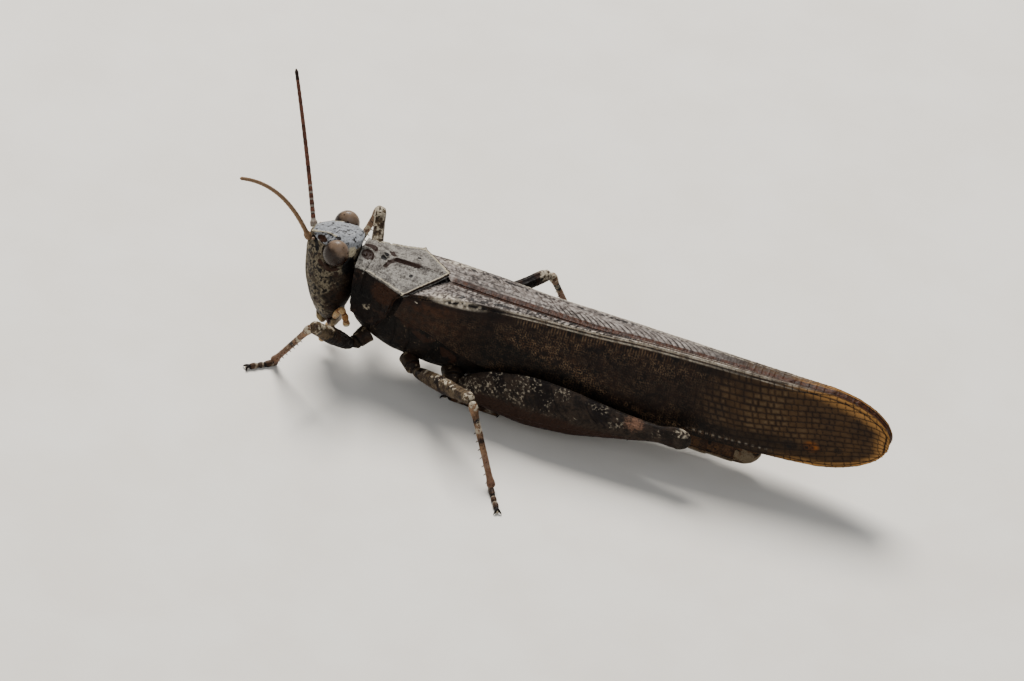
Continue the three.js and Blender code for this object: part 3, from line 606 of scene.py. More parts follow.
def head_relief(places):
    """Ridges, hollows and pits of the head case, in mm."""
    x, y, z = np.moveaxis(places, -1, 0)
    out = np.abs(y)
    is_face = ramp(-8.1, -8.7, x)
    costa = 0.3 + 0.06 * np.cos((z - 6) * 1.3)
    ridge = 0.09 * hill(out, costa, 0.09) * is_face * ramp(3.9, 4.3, z) * ramp(8.9, 8.6, z)
    groove = -0.07 * hill(out, 0, 0.2) * is_face * ramp(4.3, 5.0, z) * ramp(8.7, 8.3, z)
    side_ridge = 0.05 + 0.95 * ramp(7.6, 4.2, z)
    ridge = ridge + 0.06 * hill(out, side_ridge + 0.45, 0.1) * is_face * ramp(3.8, 4.2, z) * ramp(7.8, 7.4, z)
    clypeus = -0.09 * hill(z, 3.95, 0.07) * ramp(-7.6, -8.0, x)
    cheek = streak(places, [(-7.65, 1.75, 7.5), (-7.85, 1.9, 6.0), (-7.75, 1.7, 4.2)], 0.09)
    vertex = hill(out, 0.0, 0.07) * ramp(8.7, 9.0, z) * 0.035
    rim = streak(places, VERTEX_RIDGE, 0.1) * 0.07
    foveola = -0.07 * spot(places, (-8.22, 0.78, 8.86), (0.36, 0.2, 0.16))
    socket = -0.12 * spot(places, (-9.05, 0.6, 8.25), (0.3, 0.26, 0.26))
    socket_rim = 0.05 * spot(places, (-9.0, 0.6, 8.25), (0.42, 0.4, 0.4), 0.2)
    deep, number = pits(places, 0.2, seed=3)
    pitted = ramp(-9.2, -8.6, x) * (1 - 0.5 * ramp(8.9, 9.1, z))
    dimples = -0.028 * ramp(0.42, 0.15, deep) * (number > 0.3) * pitted
    swell = 0.03 * (clouds(places, 0.5, seed=5) - 0.5)
    parts = [ridge, groove, clypeus, -0.05 * cheek, vertex, rim, foveola, socket, socket_rim, dimples, swell]
    return sum(parts)


def head_marks(places):
    """Where the head's colours lie, as layers from 0 to 1."""
    x, y, z = np.moveaxis(places, -1, 0)
    out = np.abs(y)
    grey = ramp(8.55, 8.85, z + 0.25 * (clouds(places, 0.35, seed=13) - 0.5)) * ramp(-9.05, -8.7, x)
    cream = 0.75 * streak(places, VERTEX_RIDGE, 0.085)
    cream = np.maximum(cream, 0.7 * spot(places, (-6.15, 0.95, 8.6), (0.3, 0.4, 0.4)))
    brown = 1.2 * spot(places, (-8.1, 0.82, 8.84), (0.5, 0.28, 0.18))
    brown = np.maximum(brown, streak(places, [(-7.9, 1.5, 7.6), (-7.2, 1.95, 7.45), (-6.6, 1.85, 7.6)], 0.2))
    brown = np.maximum(brown, 0.5 * ramp(0.5, 0.65, clouds(places, 0.45, seed=14)) * ramp(8.5, 8.0, z))
    black = 1.2 * streak(places, [(-8.85, 0.62, 8.62), (-8.5, 0.85, 8.5), (-8.3, 1.1, 8.15)], 0.17)
    black = np.maximum(black, spot(places, (-6.15, 1.3, 7.7), (0.38, 0.6, 0.6)))
    black = np.maximum(black, spot(places, (-7.1, 0.86, 9.2), (0.14, 0.16, 0.14)))
    rear = ramp(-7.6, -6.5, x) * ramp(7.7, 7.0, z) * (0.45 + 0.6 * clouds(places, 0.5, seed=8))
    low = hill(z, 5.35, 0.45) * ramp(-8.4, -7.6, x) * clouds(places, 0.5, seed=9)
    smooth_ridge = ramp(-8.7, -8.95, x) * hill(out, 0.35, 0.25)
    specks = ramp(0.5, 0.64, clouds(places, 0.14, seed=11, octaves=2)) * (0.62 + 0.38 * ramp(8.9, 8.6, z))
    specks = specks * (1 - 0.8 * smooth_ridge)
    return {"grey": grey, "cream": cream, "brown": brown, "black": black, "dusk": rear + low, "specks": specks}


def make_head():
    places = head_surface()
    normals = outward(places, True)
    marks = head_marks(places)
    places = places + normals * head_relief(places)[..., None]
    depth, near = eye_depth(places)
    rim = hill(near, 1.12, 0.09)
    places = places + normals * (0.05 * rim * (near > 1))[..., None]
    limit = np.minimum(np.abs(places[..., 1]), depth)
    places[..., 1] = np.sign(places[..., 1]) * limit
    builder = Builder()
    builder.grid(places, wrap=True, **marks)
    for centre, radius in (((-9.06, 0, 7.55), 0.11), ((-8.72, 0.84, 8.62), 0.1), ((-8.72, -0.84, 8.62), 0.1)):
        builder.grid(ball(centre, (radius, radius, radius), 16), wrap=True, material=1)
    shell = cuticle(
        "head_shell",
        "6f6654",
        "3a3124",
        [("dusk", "261b12"), ("grey", "8d9094"), ("specks", "150f0a"), ("cream", "b3a98f"),
         ("brown", "2e1b10"), ("black", "070504")],
        (0.11, 0.6, "120c08"),
    )
    builder.build("head_skin", [shell, eye_material()], ["head"])


def ball(centre, half, rows, tilt=0.0):
    """An ellipsoid as rings from its lowest to its highest point."""
    level = np.linspace(-math.pi / 2 + 0.03, math.pi / 2 - 0.03, rows)[:, None]
    angle = ring_angles(2 * rows)[None, :]
    x = half[0] * np.cos(level) * np.cos(angle)
    y = half[1] * np.cos(level) * np.sin(angle)
    z = half[2] * np.sin(level) * np.ones_like(angle)
    c, s = math.cos(tilt), math.sin(tilt)
    return np.stack([x * c + z * s + centre[0], y + centre[1], z * c - x * s + centre[2]], -1)


def eye_material():
    if "eye_lens" in bpy.data.materials:
        return bpy.data.materials["eye_lens"]
    nodes = Nodes("eye_lens")
    lower = nodes.layer("lower")
    # darker towards the bottom: partly the eye's own darker lower part and partly painted shade
    tone = nodes.step(nodes.maths("ADD", nodes.clouds(0.3), nodes.maths("MULTIPLY", lower, 0.9)), 0.42, 1.2)
    colour = nodes.blend(tone, srgb("6a5848"), srgb("1a0e08"))
    dots = nodes.step(nodes.cells(0.33), 0.1, 0.24, 1.0, 0.0)
    colour = nodes.blend(nodes.maths("MULTIPLY", dots, 0.9), colour, srgb("120805"))
    nodes.feed(nodes.shader.inputs["Base Color"], colour)
    nodes.feed(nodes.shader.inputs["Roughness"], nodes.step(nodes.clouds(0.2), 0.3, 0.7, 0.22, 0.4))
    nodes.shader.inputs["Specular IOR Level"].default_value = 0.15
    nodes.shader.inputs["Coat Weight"].default_value = 0.12
    nodes.shader.inputs["Coat Roughness"].default_value = 0.12
    facets = nodes.step(nodes.cells(0.035), 0.0, 0.6, 1.0, 0.0)
    nodes.feed(nodes.shader.inputs["Normal"], nodes.relief(facets, 0.004))
    return nodes.material


def make_eyes():
    for word, side in SIDES.items():
        centre = EYE_CENTRE * [1, side, 1] - [EYE_STAGGER * side, 0, 0]
        places = ball(centre, EYE_HALF, 60, EYE_TILT)
        # lower: darker towards the bottom of each eye, partly its own colour and partly painted shade
        lower = ramp(0.8, 0.0, places[..., 2] - centre[2] + 0.4 * (places[..., 0] - centre[0]))
        builder = Builder()
        builder.grid(places, wrap=True, lower=lower)
        builder.build(f"eye_{word}_lens", [eye_material()], [f"eye_{word}"])


# ---- pronotum ----

pronotum_form = Stations(PRONOTUM_COLUMNS, PRONOTUM_ROWS)
keel_form = Stations("rise", KEEL_ROWS)
rear_form = Stations("x", PRONOTUM_REAR_ROWS)


def thin(outer, thickness, columns):
    """A closed shell of that thickness under a grid of outer points, sharp at its first and last row."""
    rows = outer.shape[0]
    taper = np.sqrt(1 - np.abs(np.linspace(-1, 1, rows)) ** 24)[:, None, None]
    inner = outer - outward(outer, False) * thickness * taper
    kept = np.linspace(outer.shape[1] - 1, 0, columns).astype(int)
    return np.concatenate([outer, inner[:, kept]], 1), kept


def shell_layers(marks, kept):
    """The marks of a shell's outer face, carried to its inner face but for the pale ones."""
    inside = {name: layer[:, kept] * (name != "pale") for name, layer in marks.items()}
    return {name: np.concatenate([layer, inside[name]], 1) for name, layer in marks.items()}


def pronotum_section(x, share):
    """Distance out and height of the pronotum at X, round the half section from its midline."""
    half, shoulder = pronotum_form("half", x), pronotum_form("shoulder", x)
    out = np.minimum(share / SHOULDER, 1)
    down = np.maximum(share - SHOULDER, 0) / (1 - SHOULDER)
    keel = keel_form("rise", x) * hill(out * half, 0, 0.16)
    side = mix(half, pronotum_form("low_half", x), down) + 0.12 * np.sin(np.pi * down)
    roof = mix(pronotum_form("crest", x), shoulder, out**1.25) + keel
    wall = mix(shoulder, pronotum_form("low", x), down**1.1)
    is_roof = share <= SHOULDER
    return np.where(is_roof, half * out, side), np.where(is_roof, roof, wall)


def pronotum_surface():
    row = np.linspace(0, 1, 190)[:, None]
    around = np.linspace(1, -1, 301)[None, :]
    share = np.abs(around)
    front = PRONOTUM_FRONT + 0.35 * share**3
    x = mix(front, rear_form("x", share), row)
    out, z = pronotum_section(x, np.broadcast_to(share, x.shape))
    return np.stack([x, out * np.sign(around), z], -1), np.broadcast_to(share, x.shape), row


def pronotum_relief(places, share, row):
    x, y, z = np.moveaxis(places, -1, 0)
    out = np.abs(y)
    deep, number = pits(places, 0.19, seed=21)
    dimples = -0.035 * ramp(0.45, 0.12, deep) * (number > 0.25)
    furrow = streak(places, [(-3.98, 0.0, 8.1), (-3.98, 0.9, 8.1), (-4.25, 1.75, 7.9), (-4.2, 2.1, 6.2)], 0.12)
    second = streak(places, [(-4.85, 0.0, 8.4), (-4.75, 0.8, 8.2), (-4.95, 1.6, 8.0), (-4.9, 2.0, 6.6)], 0.1)
    front = streak(places, [(-5.45, 0.6, 8.4), (-5.4, 1.5, 8.05), (-5.35, 1.95, 6.6)], 0.1)
    shoulder = 0.06 * hill(share, SHOULDER, 0.018) * ramp(-5.8, -3.6, x)
    rim = 0.05 * (ramp(0.06, 0.0, row) + ramp(0.955, 0.985, row) + ramp(0.965, 0.99, share))
    lumps = 0.07 * (clouds(places, 0.7, seed=23) - 0.5) * ramp(-3.2, -4.2, x)
    warts = 0.045 * ramp(0.3, 0.1, pits(places, 0.55, seed=25)[0]) * (out > 0.25)
    return dimples - mix(0.09, 0.04, ramp(0.7, 1.2, out)) * furrow - 0.06 * second - 0.05 * front + shoulder + rim + lumps + warts


def pronotum_marks(places, share, row):
    x, y, z = np.moveaxis(places, -1, 0)
    # flank: the lateral lobes' own dark brown, darkened further as painted shade, as if both sides lay in shadow
    flank = ramp(SHOULDER - 0.005, SHOULDER + 0.045, share + 0.05 * (clouds(places, 0.4, seed=31) - 0.5))
    # painted shadow: a dark streak along each side of the raised keel, fading towards the rear point
    keel_shadow_streak = streak(
        places,
        [(-3.93, 0.75, 8.1), (-3.78, 0.4, 8.2), (-3.4, 0.19, 8.4), (-2.4, 0.17, 8.37), (-2.0, 0.15, 8.36)],
        0.17,
    )
    fading_keel_shadow = 0.5 * streak(places, [(-1.9, 0.13, 8.36), (-1.0, 0.1, 8.36), (-0.1, 0.03, 8.3)], 0.09)
    brown = 1.5 * spot(places, (-5.2, 0.42, 8.3), (0.42, 0.36, 0.4), 0.2)
    dot = 1.5 * spot(places, (-4.2, 0.22, 8.2), (0.2, 0.17, 0.3))
    dot = np.maximum(dot, spot(places, (-2.2, 0.99, 8.1), (0.13, 0.13, 0.2)))
    # painted shadow: dark brown along the rear rim, beneath the pale edge line
    rear_edge_shadow = ramp(0.03, 0.0, 1 - row) * 0.9
    cream = ramp(0.95, 0.97, row) * ramp(0.995, 0.98, row) * (1 - flank)
    cream = np.maximum(cream, 0.7 * hill(share, SHOULDER - 0.015, 0.016) * ramp(-5.6, -4.8, x))
    black = spot(places, (-4.95, 2.05, 6.3), (0.75, 0.7, 0.75), 0.5)
    rufous = flank * spot(places, (-3.4, 2.25, 7.15), (0.95, 0.7, 0.75), 0.6)
    pale = 0.6 * spot(places, (-4.43, 2.18, 5.72), (0.26, 0.4, 0.3), 0.7) * clouds(places, 0.2, seed=34) * 1.6
    mottle = flank * ramp(0.52, 0.68, clouds(places, 0.3, seed=33)) * 0.7
    return {
        "flank": flank,
        "mottle": mottle,
        "rufous": rufous,
        "black": np.maximum(black, dot),
        "pale": np.maximum(pale, cream),
        # brown: a brown spot, plus painted shadow beside the keel and under the rear rim
        "brown": np.maximum(np.maximum(brown, 1.3 * keel_shadow_streak), np.maximum(fading_keel_shadow, rear_edge_shadow)),
    }


def make_pronotum():
    places, share, row = pronotum_surface()
    marks = pronotum_marks(places, share, row)
    places = places + outward(places, False) * pronotum_relief(places, share, row)[..., None]
    ring, kept = thin(places, 0.3, 60)
    builder = Builder()
    builder.grid(ring, wrap=True, ends=False, **shell_layers(marks, kept))
    shell = cuticle(
        "pronotum_shell",
        "807c75",
        "4c4844",
        # the flank colour holds painted shade as well as the lobes' own dark brown
        [("flank", "120a06"), ("mottle", "2b1d14"), ("rufous", "321c0e"), ("black", "060403"),
         # brown holds a brown spot and the painted shadows beside the keel and under the rear rim
         ("pale", "a39a85"), ("brown", "241309")],
        (0.12, 0.95, "15100d"),
        grain=0.06,
        depth=0.014,
    )
    builder.build("pronotum_shell_piece", [shell], ["pronotum"])


# ---- forewings ----

tegmen_form = Stations(TEGMEN_COLUMNS, TEGMEN_ROWS)
COSTAL_LINE = Stations("z", [(2.0, 6.2), (4.5, 6.35), (6.0, 6.05), (8.3, 5.6), (11.0, 4.6), (13.8, 3.9), (17.0, 3.55), (29.0, 3.3)])
VEIN_ROWS = 0.16  # spacing of the long veins in the tip, as a share of the wing's half height
VEIN_LEVEL, VEIN_HALF_HEIGHT = 5.5, 2.5


def tip_share(x):
    past = (x - TIP_START) / (TEGMEN_END - TIP_START)
    return np.sqrt(np.clip(1 - np.maximum(past, 0) ** 2, 0.0004, 1))


def wing_inner_edge(x, side):
    suture = tegmen_form("suture", x)
    return -suture if side == RIGHT else suture + WING_GAP


def wing_root(around, side):
    """X where the wing starts, just behind the pronotum's pointed rear margin."""
    down = 1 - around / FOLD_SHARE
    x = np.full(around.shape, -1.0)
    over = np.maximum(around - FOLD_SHARE, 0) / (1 - FOLD_SHARE)
    y = mix(tegmen_form("fold", x), wing_inner_edge(x, side), over)
    share = SHOULDER * np.abs(y) / 2.55
    back = WING_ROOT_CLEAR + rear_form("x", share)
    return np.where(around <= FOLD_SHARE, WING_ROOT_CLEAR - 2.2 - 0.5 * down, back)


def tegmen_surface(side):
    straight = np.linspace(0, 0.85, 520)
    curved = 0.85 + 0.15 * np.sin(np.linspace(0, math.pi / 2, 90))
    share = np.concatenate([straight, curved[1:]])[:, None]
    below = np.linspace(0, FOLD_SHARE, 92)
    over = np.linspace(FOLD_SHARE, 1, 44)[1:]
    around = np.concatenate([below, over])
    around = around[::-1] if side == LEFT else around
    x = mix(wing_root(around, side)[None, :], TEGMEN_END, share)
    around = np.broadcast_to(around, x.shape)
    up = np.minimum(around / FOLD_SHARE, 1)
    over = np.maximum(around - FOLD_SHARE, 0) / (1 - FOLD_SHARE)
    fold, top = tegmen_form("fold", x), tegmen_form("top", x)
    low, low_half = tegmen_form("low", x), tegmen_form("low_half", x)
    bulge = 0.2 * np.sin(np.pi * up) * tip_share(x)
    arch = 0.1 * np.sin(np.pi * over) * np.minimum(1, fold)
    flat = mix(low, top, up) + arch
    out = np.where(over > 0, mix(fold, wing_inner_edge(x, side), over), mix(low_half, fold, up) + bulge)
    z = mix(TIP_LEVEL, flat, tip_share(x))
    width = fold - wing_inner_edge(x, side)
    return np.stack([x, out * side, z], -1), {"up": up, "over": over, "flat": flat, "inset": over * width, "left_over": (1 - over) * width}


def wing_network(x, flat):
    """Distance in mm to the nearest vein of the square network in the outer part of the wing."""
    rise = 1.7 * np.maximum(0, (x - 19.5) / 9.6) ** 1.7
    level = (flat - rise - VEIN_LEVEL) / VEIN_HALF_HEIGHT * np.sqrt(tip_share(x))
    wander = noise(np.stack([x / 4, level * 2, level * 0], -1), 1.0, seed=41) - 0.5
    row = (level + 1) / VEIN_ROWS + 0.55 * wander
    to_row = np.abs(row - np.round(row)) * VEIN_ROWS * VEIN_HALF_HEIGHT
    lane = np.floor(row).astype(np.int64)
    cell = 0.5 + 0.12 * (scatter(lane, lane * 0, seed=43) - 0.5)
    along = x / cell + scatter(lane, lane * 0, seed=44) + 0.25 * (row - lane)
    index = np.floor(along).astype(np.int64)
    nearest = np.full(x.shape, 9.0)
    for step in (0, 1):
        place = index + step + 0.45 * (scatter(lane, index + step, seed=45) - 0.5)
        nearest = np.minimum(nearest, np.abs(along - place) * cell)
    return to_row, nearest


def tegmen_marks(places, parts, side):
    x, z = places[..., 0], places[..., 2]
    up, over, flat = parts["up"], parts["over"], parts["flat"]
    inset, left_over = parts["inset"], parts["left_over"]
    is_back = ramp(0, 0.04, over)
    below_fold = (1 - up) * (tegmen_form("top", x) - tegmen_form("low", x))
    plane = np.stack([x, flat + inset, x * 0], -1)
    mottle = clouds(plane, 1.1, seed=51)
    fine = clouds(plane, 0.25, seed=52, octaves=2)

    outer_part = ramp(15.5, 20.5, x - 0.7 * np.abs(flat - 5.9) + 1.6 * (mottle - 0.5))
    outer_part = outer_part * (1 - 0.7 * is_back * ramp(20, 16, x))
    to_row, to_cross = wing_network(x, flat)
    network = np.maximum(1 - ramp(0.018, 0.048, to_row), 0.9 * (1 - ramp(0.014, 0.04, to_cross)))
    cell = ramp(0.05, 0.14, np.minimum(to_row, to_cross))
    cell_pale = ramp(0.38, 0.62, clouds(plane, 1.3, seed=53)) * ramp(25.5, 22.5, x)
    rim_distance = np.minimum(z - mix(TIP_LEVEL, tegmen_form("low", x), tip_share(x)), (TEGMEN_END - x) * 0.9)
    rim_distance = np.minimum(rim_distance, mix(TIP_LEVEL, tegmen_form("top", x), tip_share(x)) - z)
    rim_width = mix(0.55, 1.1, ramp(23, 27, x) * ramp(3.5, 5.5, z))
    rim = ramp(rim_width, 0.1, rim_distance) * ramp(21.5, 25.0, x)
    edge_vein = hill(rim_distance, 0.22, 0.05) * ramp(21, 24, x) * (1 - is_back)

    threads = 1 - ramp(0.05, 0.28, net(x, flat, 0.15, seed=54))
    costal = COSTAL_LINE("z", x)
    band = ramp(costal - 0.05, costal - 0.4, z) * ramp(1.5, 4.5, x) * ramp(20.5, 17.5, x) * (1 - is_back)
    low_dusk = ramp(4.9, 4.1, z) * ramp(14, 17, x) * ramp(26.5, 20.5, x) * (1 - is_back)
    patch = hill(z, costal + 0.25, 0.42) * ramp(4.4, 5.4, x) * ramp(12.0, 8.5, x)
    line = hill(z, costal + 0.05, 0.13) * ramp(5, 7, x)
    near_fold = ramp(1.9, 0.3, below_fold) * ramp(4.5, 7.5, x) * ramp(20, 16, x) * 0.75
    sprinkle = 0.2 + 0.3 * ramp(0.45, 0.7, mottle)
    tan = threads * np.clip(patch + line + near_fold + sprinkle, 0, 1) * ramp(0.2, 0.5, fine)
    comb = 1 - ramp(0.14, 0.32, np.abs(x / 0.18 - np.round(x / 0.18)))
    comb = comb * hill(below_fold, 0.5, 0.22) * ramp(4, 6, x) * ramp(18, 13, x)
    tan = np.maximum(tan * (1 - hill(below_fold, 0.5, 0.25)), 0.85 * comb * ramp(0.25, 0.5, fine))
    tan = tan * (1 - is_back) * (1 - outer_part)

    fold_veins = np.maximum(hill(below_fold, 0.02, 0.05) * (1 - is_back), hill(inset, 0.02, 0.04) * is_back)
    fold_veins = np.maximum(fold_veins, hill(below_fold, 0.22, 0.035) * (1 - is_back))
    broken = ramp(0.2, 0.45, noise(np.stack([x * 1.0, x * 0, x * 0], -1), 0.35, seed=55))
    fold_veins = np.maximum(fold_veins, 0.9 * hill(inset, 0.2, 0.035) * is_back * ramp(10.5, 12.5, x))
    cream = fold_veins * ramp(3.0, 5.5, x) * ramp(25, 21, x) * (0.5 + 0.5 * broken)
    pale_base = spot(places, (1.1, 1.85, 7.75), (1.6, 0.5, 0.25), 0.4)
    speckled = hill(inset, 0.3, 0.2) * is_back * ramp(0.2, 1.0, x) * ramp(15.5, 11, x)
    speckled = np.maximum(speckled, hill(below_fold, 0.18, 0.2) * ramp(0.0, 0.7, x) * ramp(5.0, 3.5, x))
    black_dots = speckled * ramp(0.42, 0.55, noise(plane * [1, 1, 1] + [0, 0, 0], 0.16, seed=56))
    # seam: brown band along each wing's inner edge, partly the real commissural line and partly painted shadow of the
    # right wing's overlapping edge
    seam_and_shadow_width = mix(0.42, 0.28, ramp(7, 15, x)) * (0.6 if side == LEFT else 1)
    seam = is_back * ramp(seam_and_shadow_width + 0.03, seam_and_shadow_width - 0.03, left_over) * ramp(0, 0.5, x)
    long_line = x * 0 + 0.62
    lines = is_back * hill(left_over, long_line, 0.03) * ramp(9, 6, x)
    lines = lines + is_back * hill(left_over, long_line + 0.42, 0.03) * ramp(7, 4, x)
    chevron = (x + 0.3 * left_over + 0.75 * left_over**2) / 0.42
    ribs = 1 - ramp(0.09, 0.22, np.abs(chevron - np.round(chevron)))
    ribs = ribs * is_back * ramp(5.5, 8, x) * ramp(19, 15, x) * ramp(0.15, 0.3, left_over)
    ribs = ribs * ramp(1.25, 0.75, left_over) * (0.7 + 0.3 * ramp(0.4, 0.6, clouds(plane, 0.5, seed=58)))
    back_dots = is_back * ramp(0.52, 0.64, noise(plane + 3, 0.1, seed=57)) * (0.5 + 0.5 * ramp(10, 6, x))
    clouded = clouds(plane, 0.6, seed=59)
    back_dots = back_dots * (0.55 + 0.9 * ramp(0.35, 0.6, clouded)) * (1.5 if side == LEFT else 1)

    bead = 1 - ramp(0.12, 0.26, np.abs(x / 0.42 - np.round(x / 0.42)))
    beads = bead * hill(z - tegmen_form("low", x), 0.42, 0.06) * ramp(16.5, 17.5, x) * ramp(22.5, 21.5, x)
    spots = spot(places, (20.6, 1.5, 7.3), (0.3, 0.6, 0.16)) + spot(places, (24.3, 1.2, 4.2), (0.45, 0.6, 0.3))
    spots = spots + spot(places, (23.2, 1.2, 4.1), (0.5, 0.6, 0.35)) + spot(places, (26.2, 1, 4.4), (0.3, 0.6, 0.2))
    spots = (spots + spot(places, (27.0, 1, 6.8), (0.3, 0.6, 0.22))) * (0.5 + 0.5 * cell)
    amber = spot(places, (24.5, 1.2, 4.3), (0.42, 0.6, 0.32), 0.5) * (0.5 + 0.5 * cell)
    rufous = 0.85 * spot(places, (-0.2, 2.38, 7.0), (1.7, 0.7, 0.38), 0.6)
    rufous = np.maximum(rufous, 0.5 * spot(places, (-0.3, 2.4, 6.0), (2.2, 0.7, 0.6), 0.7))
    dash = streak(places, [(-1.75, 2.38, 7.42), (-1.6, 2.38, 7.38)], 0.05)
    dash = np.maximum(dash, streak(places, [(-1.5, 2.38, 7.34), (-1.3, 2.36, 7.26)], 0.05))
    return {
        "back": is_back * ramp(20, 14, x),
        "outer_part": outer_part,
        "cell": cell * outer_part * (0.2 + 0.8 * cell_pale) * (1 - is_back),
        "rim": rim * (1 - 0.45 * is_back),
        "tan": tan,
        "black": np.clip(band + 0.75 * low_dusk, 0, 1),
        "rufous": rufous,
        "seam": seam,
        "pale": np.clip(pale_base + cream + dash + 0.35 * beads, 0, 1),
        # the extra dark on the left wing's seam is painted shadow under the right wing's edge
        "dark": np.clip(black_dots + (ribs + lines) * (1 - seam) + (0.35 if side == LEFT else 0) * seam + spots, 0, 1),
        "freckle": np.clip(back_dots, 0, 1) * (1 - seam),
        "amber": amber,
        "vein": np.clip(0.9 * network * ramp(14.5, 19, x) * (1 - is_back) + edge_vein, 0, 1),
        "raised": np.clip(network * outer_part + edge_vein + 1.6 * fold_veins + 0.5 * threads * (1 - outer_part) + ribs, 0, 2),
    }


def wing_material(name):
    nodes = Nodes(name)
    # side field ground: the wing's own dark brown, darkened further as painted shade, as if the sides lay in shadow
    mottle = nodes.step(nodes.clouds(0.8), 0.35, 0.65)
    colour = nodes.blend(mottle, srgb("1b100a"), srgb("0d0705"))
    grey = nodes.blend(nodes.step(nodes.clouds(0.3, 4.0), 0.35, 0.65), srgb("89817a"), srgb("615954"))
    colour = nodes.blend(nodes.layer("back"), colour, grey)
    olive = nodes.blend(nodes.step(nodes.clouds(1.2), 0.35, 0.65), srgb("3f2b16"), srgb("2c1c0e"))
    colour = nodes.blend(nodes.layer("outer_part"), colour, olive)
    centre = nodes.blend(nodes.step(nodes.clouds(0.5), 0.3, 0.7), srgb("54432e"), srgb("3f2e1a"))
    tints = [
        ("cell", centre),
        ("black", srgb("050302")),
        ("rim", nodes.blend(nodes.layer("back"), srgb("9a6f3b"), srgb("5f4a30"))),
        ("tan", nodes.blend(nodes.step(nodes.clouds(0.3), 0.35, 0.65), srgb("68533c"), srgb("422d1d"))),
        ("rufous", nodes.blend(nodes.step(nodes.clouds(0.35), 0.35, 0.65), srgb("3a2212"), srgb("1f120a"))),
        # seam tint: the brown commissural line with painted shadow in it
        ("seam", nodes.blend(nodes.step(nodes.clouds(0.25), 0.35, 0.65), srgb("3a1d0b"), srgb("1f0f06"))),
        ("amber", srgb("83490f")),
        ("pale", nodes.blend(nodes.step(nodes.clouds(0.2), 0.35, 0.65), srgb("c0b6a6"), srgb("958a79"))),
        ("freckle", srgb("3a322d")),
        ("dark", srgb("0f0a08")),
        ("vein", srgb("120a06")),
    ]
    for layer, tint in tints:
        colour = nodes.blend(nodes.layer(layer), colour, tint)
    nodes.feed(nodes.shader.inputs["Base Color"], colour)
    nodes.feed(nodes.shader.inputs["Roughness"], nodes.step(nodes.clouds(0.3), 0.3, 0.7, 0.42, 0.62))
    height = nodes.maths("ADD", nodes.clouds(0.08, 2.0), nodes.layer("raised"))
    nodes.feed(nodes.shader.inputs["Normal"], nodes.relief(height, 0.012))
    return nodes.material


def make_tegmina():
    material = wing_material("forewing")
    for word, side in SIDES.items():
        places, parts = tegmen_surface(side)
        marks = tegmen_marks(places, parts, side)
        swell = 0.03 * (clouds(places * [0.4, 1, 1], 0.8, seed=61) - 0.5)
        lift = 0.028 * marks["raised"] + swell * ramp(TEGMEN_END, TEGMEN_END - 1, places[..., 0])
        places = places + outward(places, False) * lift[..., None]
        ring, kept = thin(places, 0.1, 24)
        builder = Builder()
        builder.grid(ring, wrap=True, ends=False, **shell_layers(marks, kept))
        builder.build(f"tegmen_{word}_blade", [material], [f"tegmen_{word}"])


def make_hindwings():
    """The fans of the hind wings, folded in pleats under the forewings."""
    nodes = Nodes("hindwing_fan")
    pleat = nodes.layer("pleat")
    colour = nodes.blend(nodes.step(nodes.clouds(1.5), 0.3, 0.7), srgb("8c7746"), srgb("5d4a2c"))
    colour = nodes.blend(pleat, colour, srgb("2a1d12"))
    nodes.feed(nodes.shader.inputs["Base Color"], colour)
    nodes.feed(nodes.shader.inputs["Roughness"], nodes.step(nodes.clouds(0.4), 0.3, 0.7, 0.35, 0.55))
    nodes.feed(nodes.shader.inputs["Normal"], nodes.relief(nodes.clouds(0.1), 0.01))
    for word, side in SIDES.items():
        x = np.linspace(4.0, 23.0, 160)
        share = (x - 4.0) / 19.0
        half = np.maximum(0.12, (tegmen_form("fold", x) - 0.32 - WING_GAP) / 2 - 0.1 * share)
        centres = np.stack([x, (WING_GAP + half) * side, 6.85 - 0.1 * share], -1)
        taper = np.sqrt(np.clip(1 - np.maximum(0, (share - 0.9) / 0.1) ** 2, 0.02, 1))
        rings = tube(centres, 96, half * taper, 0.27 * taper, 0.27 * taper, power=3)
        angle = ring_angles(96)[None, :]
        pleats = np.cos(angle * 14) * np.ones((160, 1))
        rings = rings + outward(rings, True) * (0.03 * (pleats - 1))[..., None]
        builder = Builder()
        builder.grid(rings, wrap=True, pleat=ramp(0.2, -0.8, pleats))
        builder.build(f"hindwing_{word}_fan", [nodes.material], [f"hindwing_{word}"])


# ---- trunk ----


def trunk_rings(form, x, sides, power, swell):
    high, low = form("high", x), form("low", x)
    level = mix(low, high, 0.42)
    half = form("half", x) * swell
    angle = ring_angles(sides)[None, :]
    columns = [v[:, None] * np.ones((1, sides)) for v in (half, (high - level) * swell, (level - low) * swell)]
    y, z = oval(angle, *columns, power)
    return np.stack([x[:, None] * np.ones((1, sides)), y, z + level[:, None]], -1)


def belly_material(name, ground, shade):
    marks = [("band", "0c0806"), ("rufous", "2c1a10"), ("pale", "6c5e4a")]
    return cuticle(name, ground, shade, marks, (0.14, 0.55, "1d1510"), grain=0.05, depth=0.01)


